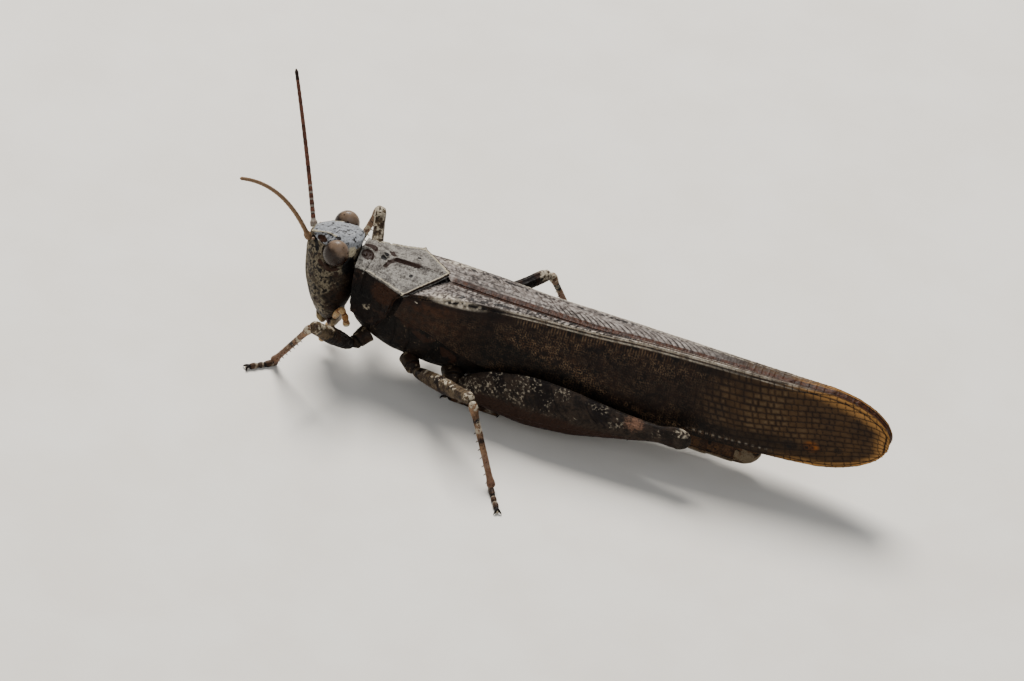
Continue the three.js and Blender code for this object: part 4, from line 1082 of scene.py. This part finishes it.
def make_thorax():
    form = Stations(TRUNK_COLUMNS, THORAX_ROWS)
    x = np.linspace(THORAX_ROWS[0][0], THORAX_ROWS[-1][0], 220)
    places = trunk_rings(form, x, 220, 2.3, np.ones(220))
    seams = [
        [(-2.75, 1.5, 1.9), (-2.4, 2.1, 4.0), (-2.6, 2.0, 6.8)],
        [(-1.7, 1.5, 1.9), (-1.35, 2.2, 4.0), (-1.9, 2.1, 6.8)],
        [(-0.2, 1.5, 1.9), (0.3, 2.3, 4.0), (-0.3, 2.2, 6.8)],
        [(1.2, 1.5, 1.9), (1.9, 2.25, 4.0), (1.2, 2.2, 6.6)],
        [(-4.4, 1.2, 2.2), (-4.0, 1.8, 4.4)],
    ]
    grooves = sum(streak(places, seam, 0.1) for seam in seams)
    deep, number = pits(places, 0.2, seed=71)
    relief = -0.07 * grooves - 0.03 * ramp(0.4, 0.1, deep) + 0.05 * (clouds(places, 0.5, seed=72) - 0.5)
    curls = 1 - ramp(0.03, 0.2, net(places[..., 0] * 1.0, places[..., 2] + places[..., 1], 0.24, seed=75))
    curls = curls * ramp(0.45, 0.62, clouds(places, 0.45, seed=76))
    pale = 0.45 * streak(places, [(-1.2, 2.1, 2.6), (-0.6, 2.3, 4.0), (-1.0, 2.2, 5.4)], 0.22)
    pale = np.maximum(pale, ramp(2.6, 2.0, places[..., 2]) * 0.6)
    pale = np.maximum(pale * ramp(0.3, 0.6, clouds(places, 0.25, seed=77)), 0.75 * curls)
    band = np.clip(grooves + 0.8 * ramp(0.5, 0.62, clouds(places, 0.8, seed=73)), 0, 1)
    rufous = streak(places, [(-3.2, 2.2, 6.0), (-1.0, 2.3, 5.0), (1.5, 2.3, 3.6)], 0.5)
    rufous = rufous * ramp(0.4, 0.6, clouds(places, 0.5, seed=74)) * 0.8
    places = places + outward(places, True) * relief[..., None]
    wing_seat = ramp(5.6, 6.6, places[..., 2]) * ramp(-4.2, -3.4, places[..., 0]) * ramp(1.2, 0, places[..., 0])
    places[..., 1] *= 1 + 0.33 * wing_seat  # the shoulders under the pronotum and the wing roots
    places[..., 2] += 0.3 * wing_seat * ramp(6.6, 7.2, places[..., 2])
    builder = Builder()
    builder.grid(places, wrap=True, band=band, rufous=rufous, pale=pale * 0.65)
    # near-black ground: the thorax's brown darkened as painted shade under the pronotum and wings
    shell = belly_material("thorax_shell", "19110b", "0c0705")
    builder.build("thorax_shell_piece", [shell], ["thorax"])


def make_abdomen():
    form = Stations(TRUNK_COLUMNS, ABDOMEN_ROWS)
    first, last = ABDOMEN_ROWS[0][0], ABDOMEN_ROWS[-1][0]
    x = np.linspace(first, last, 460)
    along = (x - first) / (last - first) * ABDOMEN_SEGMENTS
    phase = along - np.floor(along)
    swell = 0.955 + 0.045 * ramp(0.0, 0.9, phase) - 0.05 * ramp(0.93, 1.0, phase)
    swell[-1] = 0.95
    places = trunk_rings(form, x, 170, 2, swell)
    level = mix(form("low", x), form("high", x), 0.3)[:, None]
    edge = np.abs(places[..., 2] - level)
    fold_line = hill(edge, 0, 0.07)
    rear = ramp(0.8, 0.95, phase)[:, None] * np.ones((1, 170))
    band = ramp(0.25, 0.02, phase)[:, None] * ramp(0.35, 0.6, clouds(places, 0.5, seed=81))
    below = ramp(0.1, -0.3, places[..., 2] - level)
    spiracle = hill(phase[:, None], 0.3, 0.06) * hill(edge, 0.35, 0.07) * (places[..., 2] > level)
    relief = -0.06 * fold_line - 0.05 * spiracle - 0.02 * ramp(0.35, 0.1, pits(places, 0.16, seed=82)[0])
    places = places + outward(places, True) * relief[..., None]
    builder = Builder()
    marks = {"band": np.clip(band + spiracle + 0.7 * fold_line, 0, 1), "rufous": 0.6 * rear, "pale": 0.7 * below}
    builder.grid(places, wrap=True, **marks)
    shell = belly_material("abdomen_shell", "4a331f", "24170f")
    builder.build("abdomen_shell_piece", [shell], ["abdomen"])

    form = Stations(TRUNK_COLUMNS, LOBE_ROWS)
    x = LOBE_ROWS[-1][0] - (LOBE_ROWS[-1][0] - LOBE_ROWS[0][0]) * np.cos(np.linspace(0, math.pi / 2, 90))
    places = trunk_rings(form, x, 110, 2.1, np.ones(90))
    plate_line = hill(places[..., 2] - mix(form("low", x), form("high", x), 0.62)[:, None], 0, 0.06)
    relief = -0.06 * plate_line - 0.02 * ramp(0.35, 0.1, pits(places, 0.15, seed=83)[0])
    places = places + outward(places, True) * relief[..., None]
    builder = Builder()
    mottled = 0.75 * ramp(0.35, 0.65, clouds(places, 0.4, seed=84))
    builder.grid(places, wrap=True, band=plate_line, rufous=0.25, pale=mottled)
    builder.build("abdomen_lobe", [shell], ["abdomen_tip"])
    for word, side in SIDES.items():
        centres = between((20.15, 0.6 * side, 2.85), (21.35, 0.72 * side, 3.15), 40)
        share = np.linspace(0, 1, 40)
        radius = mix(0.24, 0.1, share) * np.sqrt(np.clip(1 - np.maximum(0, (share - 0.85) / 0.15) ** 2, 0.05, 1))
        builder = Builder()
        builder.grid(tube(centres, 28, radius, radius, radius), wrap=True, rufous=0.7, band=ramp(0.8, 1, share)[:, None])
        builder.build(f"cercus_{word}_finger", [shell], [f"cercus_{word}"])


# ---- feelers and mouthparts ----


def make_antennae():
    marks = [("ring", "1c110c"), ("pale", "847c72"), ("ochre", "7a6047")]
    material = cuticle("antenna_shell", "613c2e", "3a2219", marks, (0.1, 0.2, "2a1a14"), grain=0.04, depth=0.006)
    for word, side in SIDES.items():
        base = np.array([-9.05, 0.6 * side, 8.42])
        bend = np.array([-10.8, -2.6, 13.6]) if side == LEFT else np.array([-10.8, 3.2, 12.0])
        tip = np.array([-12.95, 6.15 * side, 15.65])
        share = np.linspace(0, 1, 520)
        t = share[:, None]
        centres = base * (1 - t) ** 2 + bend * 2 * t * (1 - t) + tip * t**2
        joints = 23
        phase = share * joints % 1
        radius = mix(0.155, 0.115, share) * (0.84 + 0.16 * np.sin(np.pi * phase) ** 0.4)
        radius = radius * mix(1.55, 1.0, ramp(0.03, 0.055, share)) * np.sqrt(np.clip((1 - share) / 0.02, 0.02, 1))
        number = np.floor(share * joints).astype(int)
        dark = ramp(0.75, 0.95, phase) * (0.4 + 0.6 * scatter(number, seed=91)) + 0.8 * (share > 0.93)
        pale = (share < 0.28) * ramp(0.4, 0.2, phase) + 0.6 * (share < 0.05)
        builder = Builder()
        layers = {"ring": dark[:, None], "pale": pale[:, None], "ochre": 0.85 if side == LEFT else 0.0}
        builder.grid(tube(centres, 24, radius, radius, radius, (1, 0, 0)), wrap=True, **layers)
        builder.build(f"antenna_{word}_joints", [material], [f"antenna_{word}"])


def slab(rows, sides=80, power=2.8, smooth=70):
    """A rounded slab from level slices: Z, foremost X, rearmost X and half width, from the top down."""
    table = np.array(sorted(rows))
    z = np.linspace(table[0, 0], table[-1, 0], smooth)
    front, back, half = (np.interp(z, table[:, 0], table[:, k]) for k in (1, 2, 3))
    angle = ring_angles(sides)[None, :]
    reach = ((back - front) / 2)[:, None] * np.ones((1, sides))
    width = half[:, None] * np.ones((1, sides))
    x, y = oval(angle, reach, width, width, power)
    return np.stack([x + ((front + back) / 2)[:, None], y, z[:, None] * np.ones((1, sides))], -1)


def make_mouth():
    lip = slab([(3.08, -7.78, -7.2, 0.95), (2.75, -7.72, -7.16, 0.98), (2.4, -7.5, -7.06, 0.78), (2.25, -7.3, -7.08, 0.5)])
    x, y, z = np.moveaxis(lip, -1, 0)
    relief = -0.09 * hill(y, 0, 0.09) * ramp(2.75, 2.5, z) + 0.03 * (clouds(lip, 0.3, seed=95) - 0.5)
    builder = Builder()
    lip = lip + outward(lip, True) * relief[..., None]
    brown = ramp(0.5, 0.7, clouds(lip, 0.4, seed=96))
    builder.grid(lip, wrap=True, brown=brown * 0.8)
    shell = cuticle("labrum_shell", "8f7f60", "5f4e35", [("brown", "5a4330")], (0.12, 0.4, "2b1f15"))
    builder.build("labrum_plate", [shell], ["labrum"])

    jaws = slab([(3.08, -7.1, -6.2, 1.2), (2.75, -7.08, -6.15, 1.18), (2.4, -6.98, -6.25, 0.9), (2.2, -6.85, -6.4, 0.5)], power=2.6)
    x, y, z = np.moveaxis(jaws, -1, 0)
    split = -0.12 * hill(x, -6.72, 0.05) - 0.1 * hill(y, 0, 0.05)
    jaws = jaws + outward(jaws, True) * (split + 0.04 * (clouds(jaws, 0.3, seed=97) - 0.5))[..., None]
    builder = Builder()
    builder.grid(jaws, wrap=True, horn=ramp(-6.68, -6.76, x), pale=ramp(-6.7, -6.55, x) * 0.8)
    marks = [("horn", "2c120c"), ("pale", "8d7b5e")]
    shell = cuticle("jaw_shell", "352116", "1c110b", marks, (0.12, 0.3, "1c120c"), (0.25, 0.45))
    builder.build("jaw_mass", [shell], ["jaws"])


PALPS = {
    "maxillary_palp": [(-6.42, 1.35, 3.55), (-5.95, 1.95, 4.7), (-5.6, 2.0, 4.2), (-5.45, 1.9, 3.6)],
    "labial_palp": [(-6.5, 0.72, 2.36), (-6.5, 0.98, 1.8), (-6.95, 0.8, 1.35), (-7.1, 0.65, 1.0)],
}


def smooth_line(corners, steps):
    """A line through the corners, rounded at each of them."""
    corners = np.array(corners, float)
    at = np.linspace(0, len(corners) - 1, len(corners))
    form = Stations("x y z", np.column_stack([at, corners]))
    along = np.linspace(0, len(corners) - 1, steps)
    return np.stack([form(axis, along) for axis in "xyz"], -1)


def make_palps():
    material = cuticle("palp_shell", "b0946a", "7f5329", [("joint", "5c351d"), ("tip", "d8ccb0")], (0.1, 0.2, "6a4a2c"), (0.35, 0.5))
    for kind, corners in PALPS.items():
        for word, side in SIDES.items():
            centres = smooth_line([placed(corner, side) for corner in corners], 150)
            share = np.linspace(0, 1, 150)
            joints = 4 if kind == "maxillary_palp" else 3
            phase = share * joints % 1
            radius = 0.15 + 0.07 * np.sin(np.pi * phase) ** 0.7 + 0.03 * ramp(0.8, 1, share)
            radius = radius * np.sqrt(np.clip((1 - share) / 0.06, 0.03, 1)) * np.sqrt(np.clip(share / 0.03, 0.1, 1))
            builder = Builder()
            layers = {"joint": (hill(phase, 1, 0.1) + hill(phase, 0, 0.1))[:, None], "tip": ramp(0.8, 0.95, share)[:, None]}
            builder.grid(tube(centres, 32, radius, radius, radius, (0, 1, 0)), wrap=True, **layers)
            builder.build(f"{kind}_{word}_joints", [material], [f"{kind}_{word}"])


# ---- legs ----

thigh_form = Stations(LIMB_COLUMNS, THIGH_ROWS)
shin_form = Stations(LIMB_COLUMNS, SHIN_ROWS)
hind_form = Stations(LIMB_COLUMNS, HIND_FEMUR_ROWS)


def leg_material(name, ground, shade):
    marks = [("band", "120a08"), ("pale", "aba08c"), ("pink", "7c5b48"), ("rufous", "2c1b12")]
    return cuticle(name, ground, shade, marks, (0.11, 0.8, "140d09"), grain=0.045, depth=0.01)


def limb(start, end, form, steps, sides, upright, power=2, start_gap=0.0):
    """Rings of a limb between two joints, with each ring's share of the length."""
    start, end = np.array(start, float), np.array(end, float)
    start = start + unit(end - start) * start_gap
    share = (1 - np.cos(np.linspace(0, np.pi, steps))) / 2
    share = mix(share, np.linspace(0, 1, steps), 0.6)
    centres = start + (end - start) * share[:, None]
    high, low, half = form("high", share), form("low", share), form("half", share)
    taper = np.sqrt(1 - (1 - np.clip(np.minimum(share, 1 - share) / 0.022, 0.004, 1)) ** 2)
    rings = tube(centres, sides, half * taper, high * taper, low * taper, upright, power)
    return rings, share[:, None] * np.ones((1, sides))


def thorns(builder, base, direction, outward_way, length, thickness):
    """A curved spine standing on a limb."""
    share = np.linspace(0, 1, 12)
    t = share[:, None]
    centres = base + outward_way * length * t + direction * length * 0.35 * t**2
    radius = thickness * (1 - share) ** 0.7 + 0.012
    builder.grid(tube(centres, 10, radius, radius, radius, (0.3, 0.4, 0.87)), wrap=True, band=ramp(0.45, 0.7, share)[:, None], pale=ramp(0.5, 0.2, share)[:, None])


def make_small_legs():
    thigh_shell = leg_material("thigh_shell", "564836", "281d14")
    shin_shell = leg_material("shin_shell", "7d6048", "4a3323")
    for pair in ("front", "mid"):
        for word, side in SIDES.items():
            leg = LEGS[f"{pair}_{word}"]
            hip, knee, ankle = (placed(leg[k], side) for k in ("hip", "knee", "ankle"))
            rings, share = limb(hip, knee, thigh_form, 200, 64, (0, 0, 1), start_gap=0.12)
            angle = ring_angles(64)[None, :] * np.ones_like(share)
            up = np.sin(angle)
            keels = 0.05 * (hill(angle, np.pi / 2, 0.16) + hill(angle, np.pi * 0.25, 0.14) + hill(angle, np.pi * 0.75, 0.14))
            keels = keels * ramp(0.02, 0.12, share) * ramp(0.97, 0.88, share)
            rough = 0.05 * (clouds(rings, 0.3, seed=101) - 0.5) - 0.02 * ramp(0.4, 0.1, pits(rings, 0.15, seed=102)[0])
            wave = clouds(rings, 0.5, seed=103) - 0.5
            dark_bands = ramp(0.45, 0.8, np.sin(share * 15 + wave * 5))
            far_mid = 1.0 if side == RIGHT and pair == "mid" else 0.0
            shaded = (0.8 if pair == "front" else 0.0) * ramp(0.7, 0.35, share + 0.3 * wave)
            pale_from = 0.6 if pair == "front" else 0.84
            ends = ramp(pale_from, 0.93, share) * (0.35 + 0.65 * ramp(-0.2, 0.5, up)) * ramp(0.25, 0.55, wave + 0.5)
            grainy = ramp(0.42, 0.56, clouds(rings, 0.13, seed=107))
            tops = 0.75 * ramp(0.4, 0.9, up) * ramp(0.4, 0.6, wave + 0.5) + 0.4 * ramp(0.55, 0.75, wave + 0.5)
            tops, ends = tops * grainy, ends * (0.15 + 0.85 * grainy)
            layers = {
                # band includes painted shade: the front thighs darkened towards the body
                "band": np.maximum(np.maximum(0.7 * dark_bands, shaded), far_mid) * ramp(0.95, 0.88, share),
                "pale": np.clip(ends + tops * (1 - 0.9 * far_mid) * (1 - shaded), 0, 1),
                "rufous": 0.6 * ramp(0.55, 0.7, clouds(rings, 0.4, seed=104)),
            }
            builder = Builder()
            builder.grid(rings + outward(rings, True) * (keels + rough)[..., None], wrap=True, **layers)
            builder.build(f"femur_{pair}_{word}_shell", [thigh_shell], [f"femur_{pair}_{word}"])

            rings, share = limb(knee, ankle + unit(ankle - knee) * 0.2, shin_form, 220, 48, (1, 0, 0), start_gap=0.1)
            wave = clouds(rings, 0.4, seed=105) - 0.5
            annuli = hill(share, 0.22, 0.035) + hill(share, 0.46, 0.05) + hill(share, 0.95, 0.05) + 0.6 * hill(share, 0.7, 0.04)
            bright = ramp(0.16, 0.05, share) + 0.5 * ramp(0.5, 0.62, wave + 0.5) + 0.8 * hill(share, 0.33, 0.05)
            layers = {
                "band": np.clip(0.75 * annuli * (1.1 + 2.5 * wave) + 0.8 * far_mid * hill(share, 0.24, 0.08), 0, 1),
                "pale": np.clip(bright * (0.15 + 0.85 * ramp(0.38, 0.55, clouds(rings, 0.14, seed=108))), 0, 1),
                "pink": np.maximum(0.55 * ramp(0.4, 0.7, share), 0.9 * far_mid * ramp(0.3, 0.36, share)),
            }
            rough = 0.03 * (clouds(rings, 0.2, seed=106) - 0.5)
            builder = Builder()
            builder.grid(rings + outward(rings, True) * rough[..., None], wrap=True, **layers)
            forward = unit(ankle - knee)
            across = unit(np.cross(forward, (0, 0, 1)))
            under = unit(np.cross(forward, across))
            under = under if under[2] < 0 or pair == "front" else -under
            for number in range(7):
                base = knee + (ankle - knee) * mix(0.38, 0.96, number / 6)
                for row in (-1, 1):
                    way = unit(across * row * 0.75 + under * 0.65)
                    thorns(builder, base + way * 0.14, forward, way, 0.2, 0.035)
            builder.build(f"tibia_{pair}_{word}_shell", [shin_shell], [f"tibia_{pair}_{word}"])


def make_hind_legs():
    # hind thigh ground darkened beyond its own dark brown: painted shade of the wings above it
    shell = leg_material("hind_thigh_shell", "30261e", "150f0b")
    shin_shell = leg_material("hind_shin_shell", "8a744f", "5c4a33")
    for word, side in SIDES.items():
        leg = LEGS[f"hind_{word}"]
        hip, knee, ankle = (placed(leg[k], side) for k in ("hip", "knee", "ankle"))
        rings, share = limb(hip, knee, hind_form, 420, 180, (0, 0, 1), 1.75, start_gap=0.2)
        angle = ring_angles(180)[None, :] * np.ones_like(share)
        up, out = np.sin(angle), np.cos(angle) * side
        belly = ramp(0.03, 0.14, share) * ramp(0.86, 0.76, share)
        is_face = ramp(0.2, 0.5, out) * belly
        fishbone = share * 34 + 2.6 * np.abs(up)
        bone = 1 - ramp(0.1, 0.26, np.abs(fishbone - np.round(fishbone)))
        lines = hill(up, 0.62, 0.05) + hill(up, -0.55, 0.05)
        carina = hill(angle, np.pi / 2, 0.07) + hill(angle, 1.5 * np.pi, 0.07)
        crescent = hill(share, 0.925, 0.012) * ramp(0.0, 0.4, out)
        relief = 0.04 * bone * is_face * (np.abs(up) < 0.6) + 0.045 * lines * is_face + 0.06 * carina * belly
        relief = relief + 0.05 * (clouds(rings, 0.4, seed=111) - 0.5) - 0.04 * crescent
        relief = relief - 0.02 * ramp(0.35, 0.1, pits(rings, 0.18, seed=112)[0])
        x, z = rings[..., 0], rings[..., 2]
        cloud = clouds(rings, 0.7, seed=113)
        slant = x + 0.55 * (z - 3.4)
        blotch = hill(slant, 8.1, 0.75) + hill(slant, 11.7, 0.6) + 0.8 * hill(slant, 5.0, 0.6)
        blotch = blotch * ramp(2.9, 3.9, z + 1.3 * (cloud - 0.5)) * ramp(0.35, 0.5, cloud + 0.2)
        knee_dark = spot(rings, (16.1, 3.35, 3.35), (0.75, 1.0, 0.5), 0.4) * 0.8
        pale = 0.42 * spot(rings, (16.9, 3.5, 4.35), (0.5, 0.6, 0.36), 0.6) + 0.7 * hill(up, -0.93, 0.05) * belly
        pale = pale * (0.4 + 0.6 * ramp(0.35, 0.6, clouds(rings, 0.2, seed=116)))
        flecks = ramp(0.46, 0.6, clouds(rings, 0.11, seed=114, octaves=2)) * ramp(0.3, 0.6, clouds(rings, 0.9, seed=115))
        pale = pale + 0.42 * flecks * ramp(-0.6, 0.1, up)
        layers = {
            "band": np.clip(blotch + 0.35 * bone * is_face * (cloud > 0.45) + knee_dark * 0.6, 0, 1),
            "pale": np.clip(pale, 0, 1),
            "pink": 0.75 * spot(rings, (13.7, 3.5, 3.85), (0.7, 0.8, 0.6), 0.7) * (0.5 + 0.5 * cloud),
            "rufous": np.clip(ramp(3.2, 2.2, z) * (0.4 + cloud) * belly + 0.5 * knee_dark, 0, 1),
        }
        builder = Builder()
        builder.grid(rings + outward(rings, True) * relief[..., None], wrap=True, **layers)
        builder.build(f"femur_hind_{word}_shell", [shell], [f"femur_hind_{word}"])

        rings, share = limb(knee, ankle + unit(ankle - knee) * 0.4, shin_form, 360, 48, (1, 0, 0), start_gap=0.1)
        annuli = hill(share, 0.05, 0.03) + 0.8 * hill(share, 0.2, 0.03) + hill(share, 0.97, 0.03)
        layers = {"band": np.clip(annuli, 0, 1), "pale": hill(share, 0.13, 0.03)}
        builder = Builder()
        builder.grid(rings, wrap=True, **layers)
        forward = unit(ankle - knee)
        across = unit(np.cross(forward, (0, 0, 1)))
        down = np.cross(forward, across)
        down = down if down[2] < 0 else -down
        for number in range(10):
            base = knee + (ankle - knee) * mix(0.3, 0.96, number / 9)
            for row in (-1, 1):
                way = unit(across * row * 0.7 + down * 0.7)
                thorns(builder, base + way * 0.12, forward, way, 0.5, 0.06)
        builder.build(f"tibia_hind_{word}_shell", [shin_shell], [f"tibia_hind_{word}"])


def make_coxae():
    shell = belly_material("coxa_shell", "2f2318", "170f0a")
    for pair, radius in (("front", 0.6), ("mid", 0.6), ("hind", 0.78)):
        for word, side in SIDES.items():
            leg = LEGS[f"{pair}_{word}"]
            root, hip = placed(leg["root"], side), placed(leg["hip"], side)
            share = np.linspace(0, 1, 90)
            centres = root + (hip + unit(hip - root) * 0.08 - root) * share[:, None]
            size = radius * mix(1, 0.7, share) * np.sqrt(np.clip((1 - share) / 0.25, 0.12, 1))
            rings = tube(centres, 72, size, size, size)
            groove = hill(share, 0.62, 0.04)[:, None] * np.ones((1, 72))
            relief = -0.06 * groove + 0.05 * (clouds(rings, 0.3, seed=121) - 0.5)
            layers = {"band": 0.8 * groove, "rufous": 0.6 * ramp(0.5, 0.65, clouds(rings, 0.4, seed=122)), "pale": 0.7 * ramp(0.58, 0.7, clouds(rings, 0.3, seed=123))}
            builder = Builder()
            builder.grid(rings + outward(rings, True) * relief[..., None], wrap=True, **layers)
            builder.build(f"coxa_{pair}_{word}_shell", [shell], [f"coxa_{pair}_{word}"])


def make_feet():
    """Three joints on pads, two claws and the pad between them."""
    shell = leg_material("foot_shell", "463121", "24170f")
    for leg_name, leg in LEGS.items():
        side = SIDES[leg_name.split("_")[1]]
        heel, toe = placed(leg["ankle"], side) * [1, 1, 0], placed(leg["toe"], side)
        forward = unit(toe - heel)
        across = unit(np.cross(forward, (0, 0, 1)))
        length = np.linalg.norm(toe - heel)
        builder = Builder()
        for start, end, tall in ((-0.11, 0.36, 0.48), (0.34, 0.55, 0.4), (0.53, 0.86, 0.42)):
            share = np.linspace(0, 1, 50)
            swell = np.sin(np.pi * np.clip(share * 0.86 + 0.1, 0, 1)) ** 0.35 * mix(0.82, 1.0, share)
            high = tall * swell / 2
            centres = heel + forward * (mix(start, end, share) * length)[:, None]
            centres[:, 2] = high + 0.002
            rings = tube(centres, 40, 0.2 * swell, high, high, power=2.3)
            layers = {"band": ramp(0.7, 0.95, share)[:, None], "pale": 0.5 * hill(share, 0.35, 0.2)[:, None]}
            builder.grid(rings, wrap=True, **layers)
        knuckle = heel + forward * 0.84 * length + np.array([0, 0, 0.24])
        for row in (-1, 1):
            t = np.linspace(0, 1, 24)[:, None]
            bend = knuckle + forward * 0.16 * length + across * row * 0.12 + np.array([0, 0, 0.06])
            tip = heel + forward * length + across * row * 0.26 + np.array([0, 0, 0.04])
            centres = knuckle * (1 - t) ** 2 + bend * 2 * t * (1 - t) + tip * t**2
            radius = 0.085 * (1 - t[:, 0]) ** 0.6 + 0.015
            builder.grid(tube(centres, 16, radius, radius, radius), wrap=True, band=1.0)
        builder.grid(ball(heel + forward * 0.93 * length + np.array([0, 0, 0.15]), (0.13, 0.13, 0.1), 14), wrap=True, pale=0.7)
        builder.build(f"tarsus_{leg_name}_joints", [shell], [f"tarsus_{leg_name}"])


# ---- camera, floor and light ----


def to_frame(place):
    return (Vector(place) - Vector((BOX_CENTRE_X, 0, 0))) * MM


def make_camera():
    back = Vector(
        (
            math.sin(AZIMUTH) * math.cos(ELEVATION),
            -math.cos(AZIMUTH) * math.cos(ELEVATION),
            math.sin(ELEVATION),
        )
    )
    level = Vector((math.cos(AZIMUTH), math.sin(AZIMUTH), 0))
    upright = back.cross(level)
    right = level * math.cos(ROLL) + upright * math.sin(ROLL)
    up = back.cross(right)
    camera = bpy.data.objects.new("camera", bpy.data.cameras.new("camera"))
    camera.data.lens = camera.data.sensor_width * CAMERA_DISTANCE / VIEW_WIDTH
    camera.data.clip_start = 0.01
    turn = Matrix((right, up, back)).transposed().to_4x4()
    camera.matrix_world = Matrix.Translation(to_frame(LOOK_AT) + back * CAMERA_DISTANCE * MM) @ turn
    bpy.context.scene.collection.objects.link(camera)
    bpy.context.scene.camera = camera


def make_floor():
    mesh = bpy.data.meshes.new("floor")
    reach = 1.5
    corners = [(-reach, -reach, 0), (reach, -reach, 0), (reach, reach, 0), (-reach, reach, 0)]
    mesh.from_pydata(corners, [], [(0, 1, 2, 3)])
    nodes = Nodes("floor_paper")
    colour = nodes.blend(nodes.step(nodes.clouds(9.0), 0.3, 0.7), srgb("dcd8d0"), srgb("d6d1c8"))
    nodes.feed(nodes.shader.inputs["Base Color"], colour)
    nodes.feed(nodes.shader.inputs["Normal"], nodes.relief(nodes.clouds(0.4), 0.01))
    nodes.shader.inputs["Roughness"].default_value = 0.9
    mesh.materials.append(nodes.material)
    floor = bpy.data.objects.new("floor", mesh)
    bpy.context.scene.collection.objects.link(floor)


def make_light(name, direction, distance, size, power, colour):
    light = bpy.data.lights.new(name, "AREA")
    light.shape, light.size, light.energy, light.color = "DISK", size, power, colour
    lamp = bpy.data.objects.new(name, light)
    toward = Vector(direction).normalized()
    lamp.location = toward * distance
    lamp.rotation_euler = toward.to_track_quat("Z", "Y").to_euler()
    bpy.context.scene.collection.objects.link(lamp)


def make_stage():
    make_camera()
    make_floor()
    make_light("key", (-0.35, 0.55, 1.0), 0.5, 0.28, 5.5, (1.0, 0.97, 0.93))
    make_light("fill", (0.3, -1.0, 0.75), 0.6, 0.5, 1.1, (0.95, 0.97, 1.0))
    world = bpy.data.worlds.new("studio")
    world.use_nodes = True
    world.node_tree.nodes["Background"].inputs["Color"].default_value = (0.9, 0.94, 1.0, 1)
    world.node_tree.nodes["Background"].inputs["Strength"].default_value = 0.35
    bpy.context.scene.world = world


make_stage()
make_head()
make_eyes()
make_mouth()
make_palps()
make_antennae()
make_pronotum()
make_tegmina()
make_hindwings()
make_thorax()
make_abdomen()
make_coxae()
make_small_legs()
make_hind_legs()
make_feet()

bpy.context.view_layer.update()
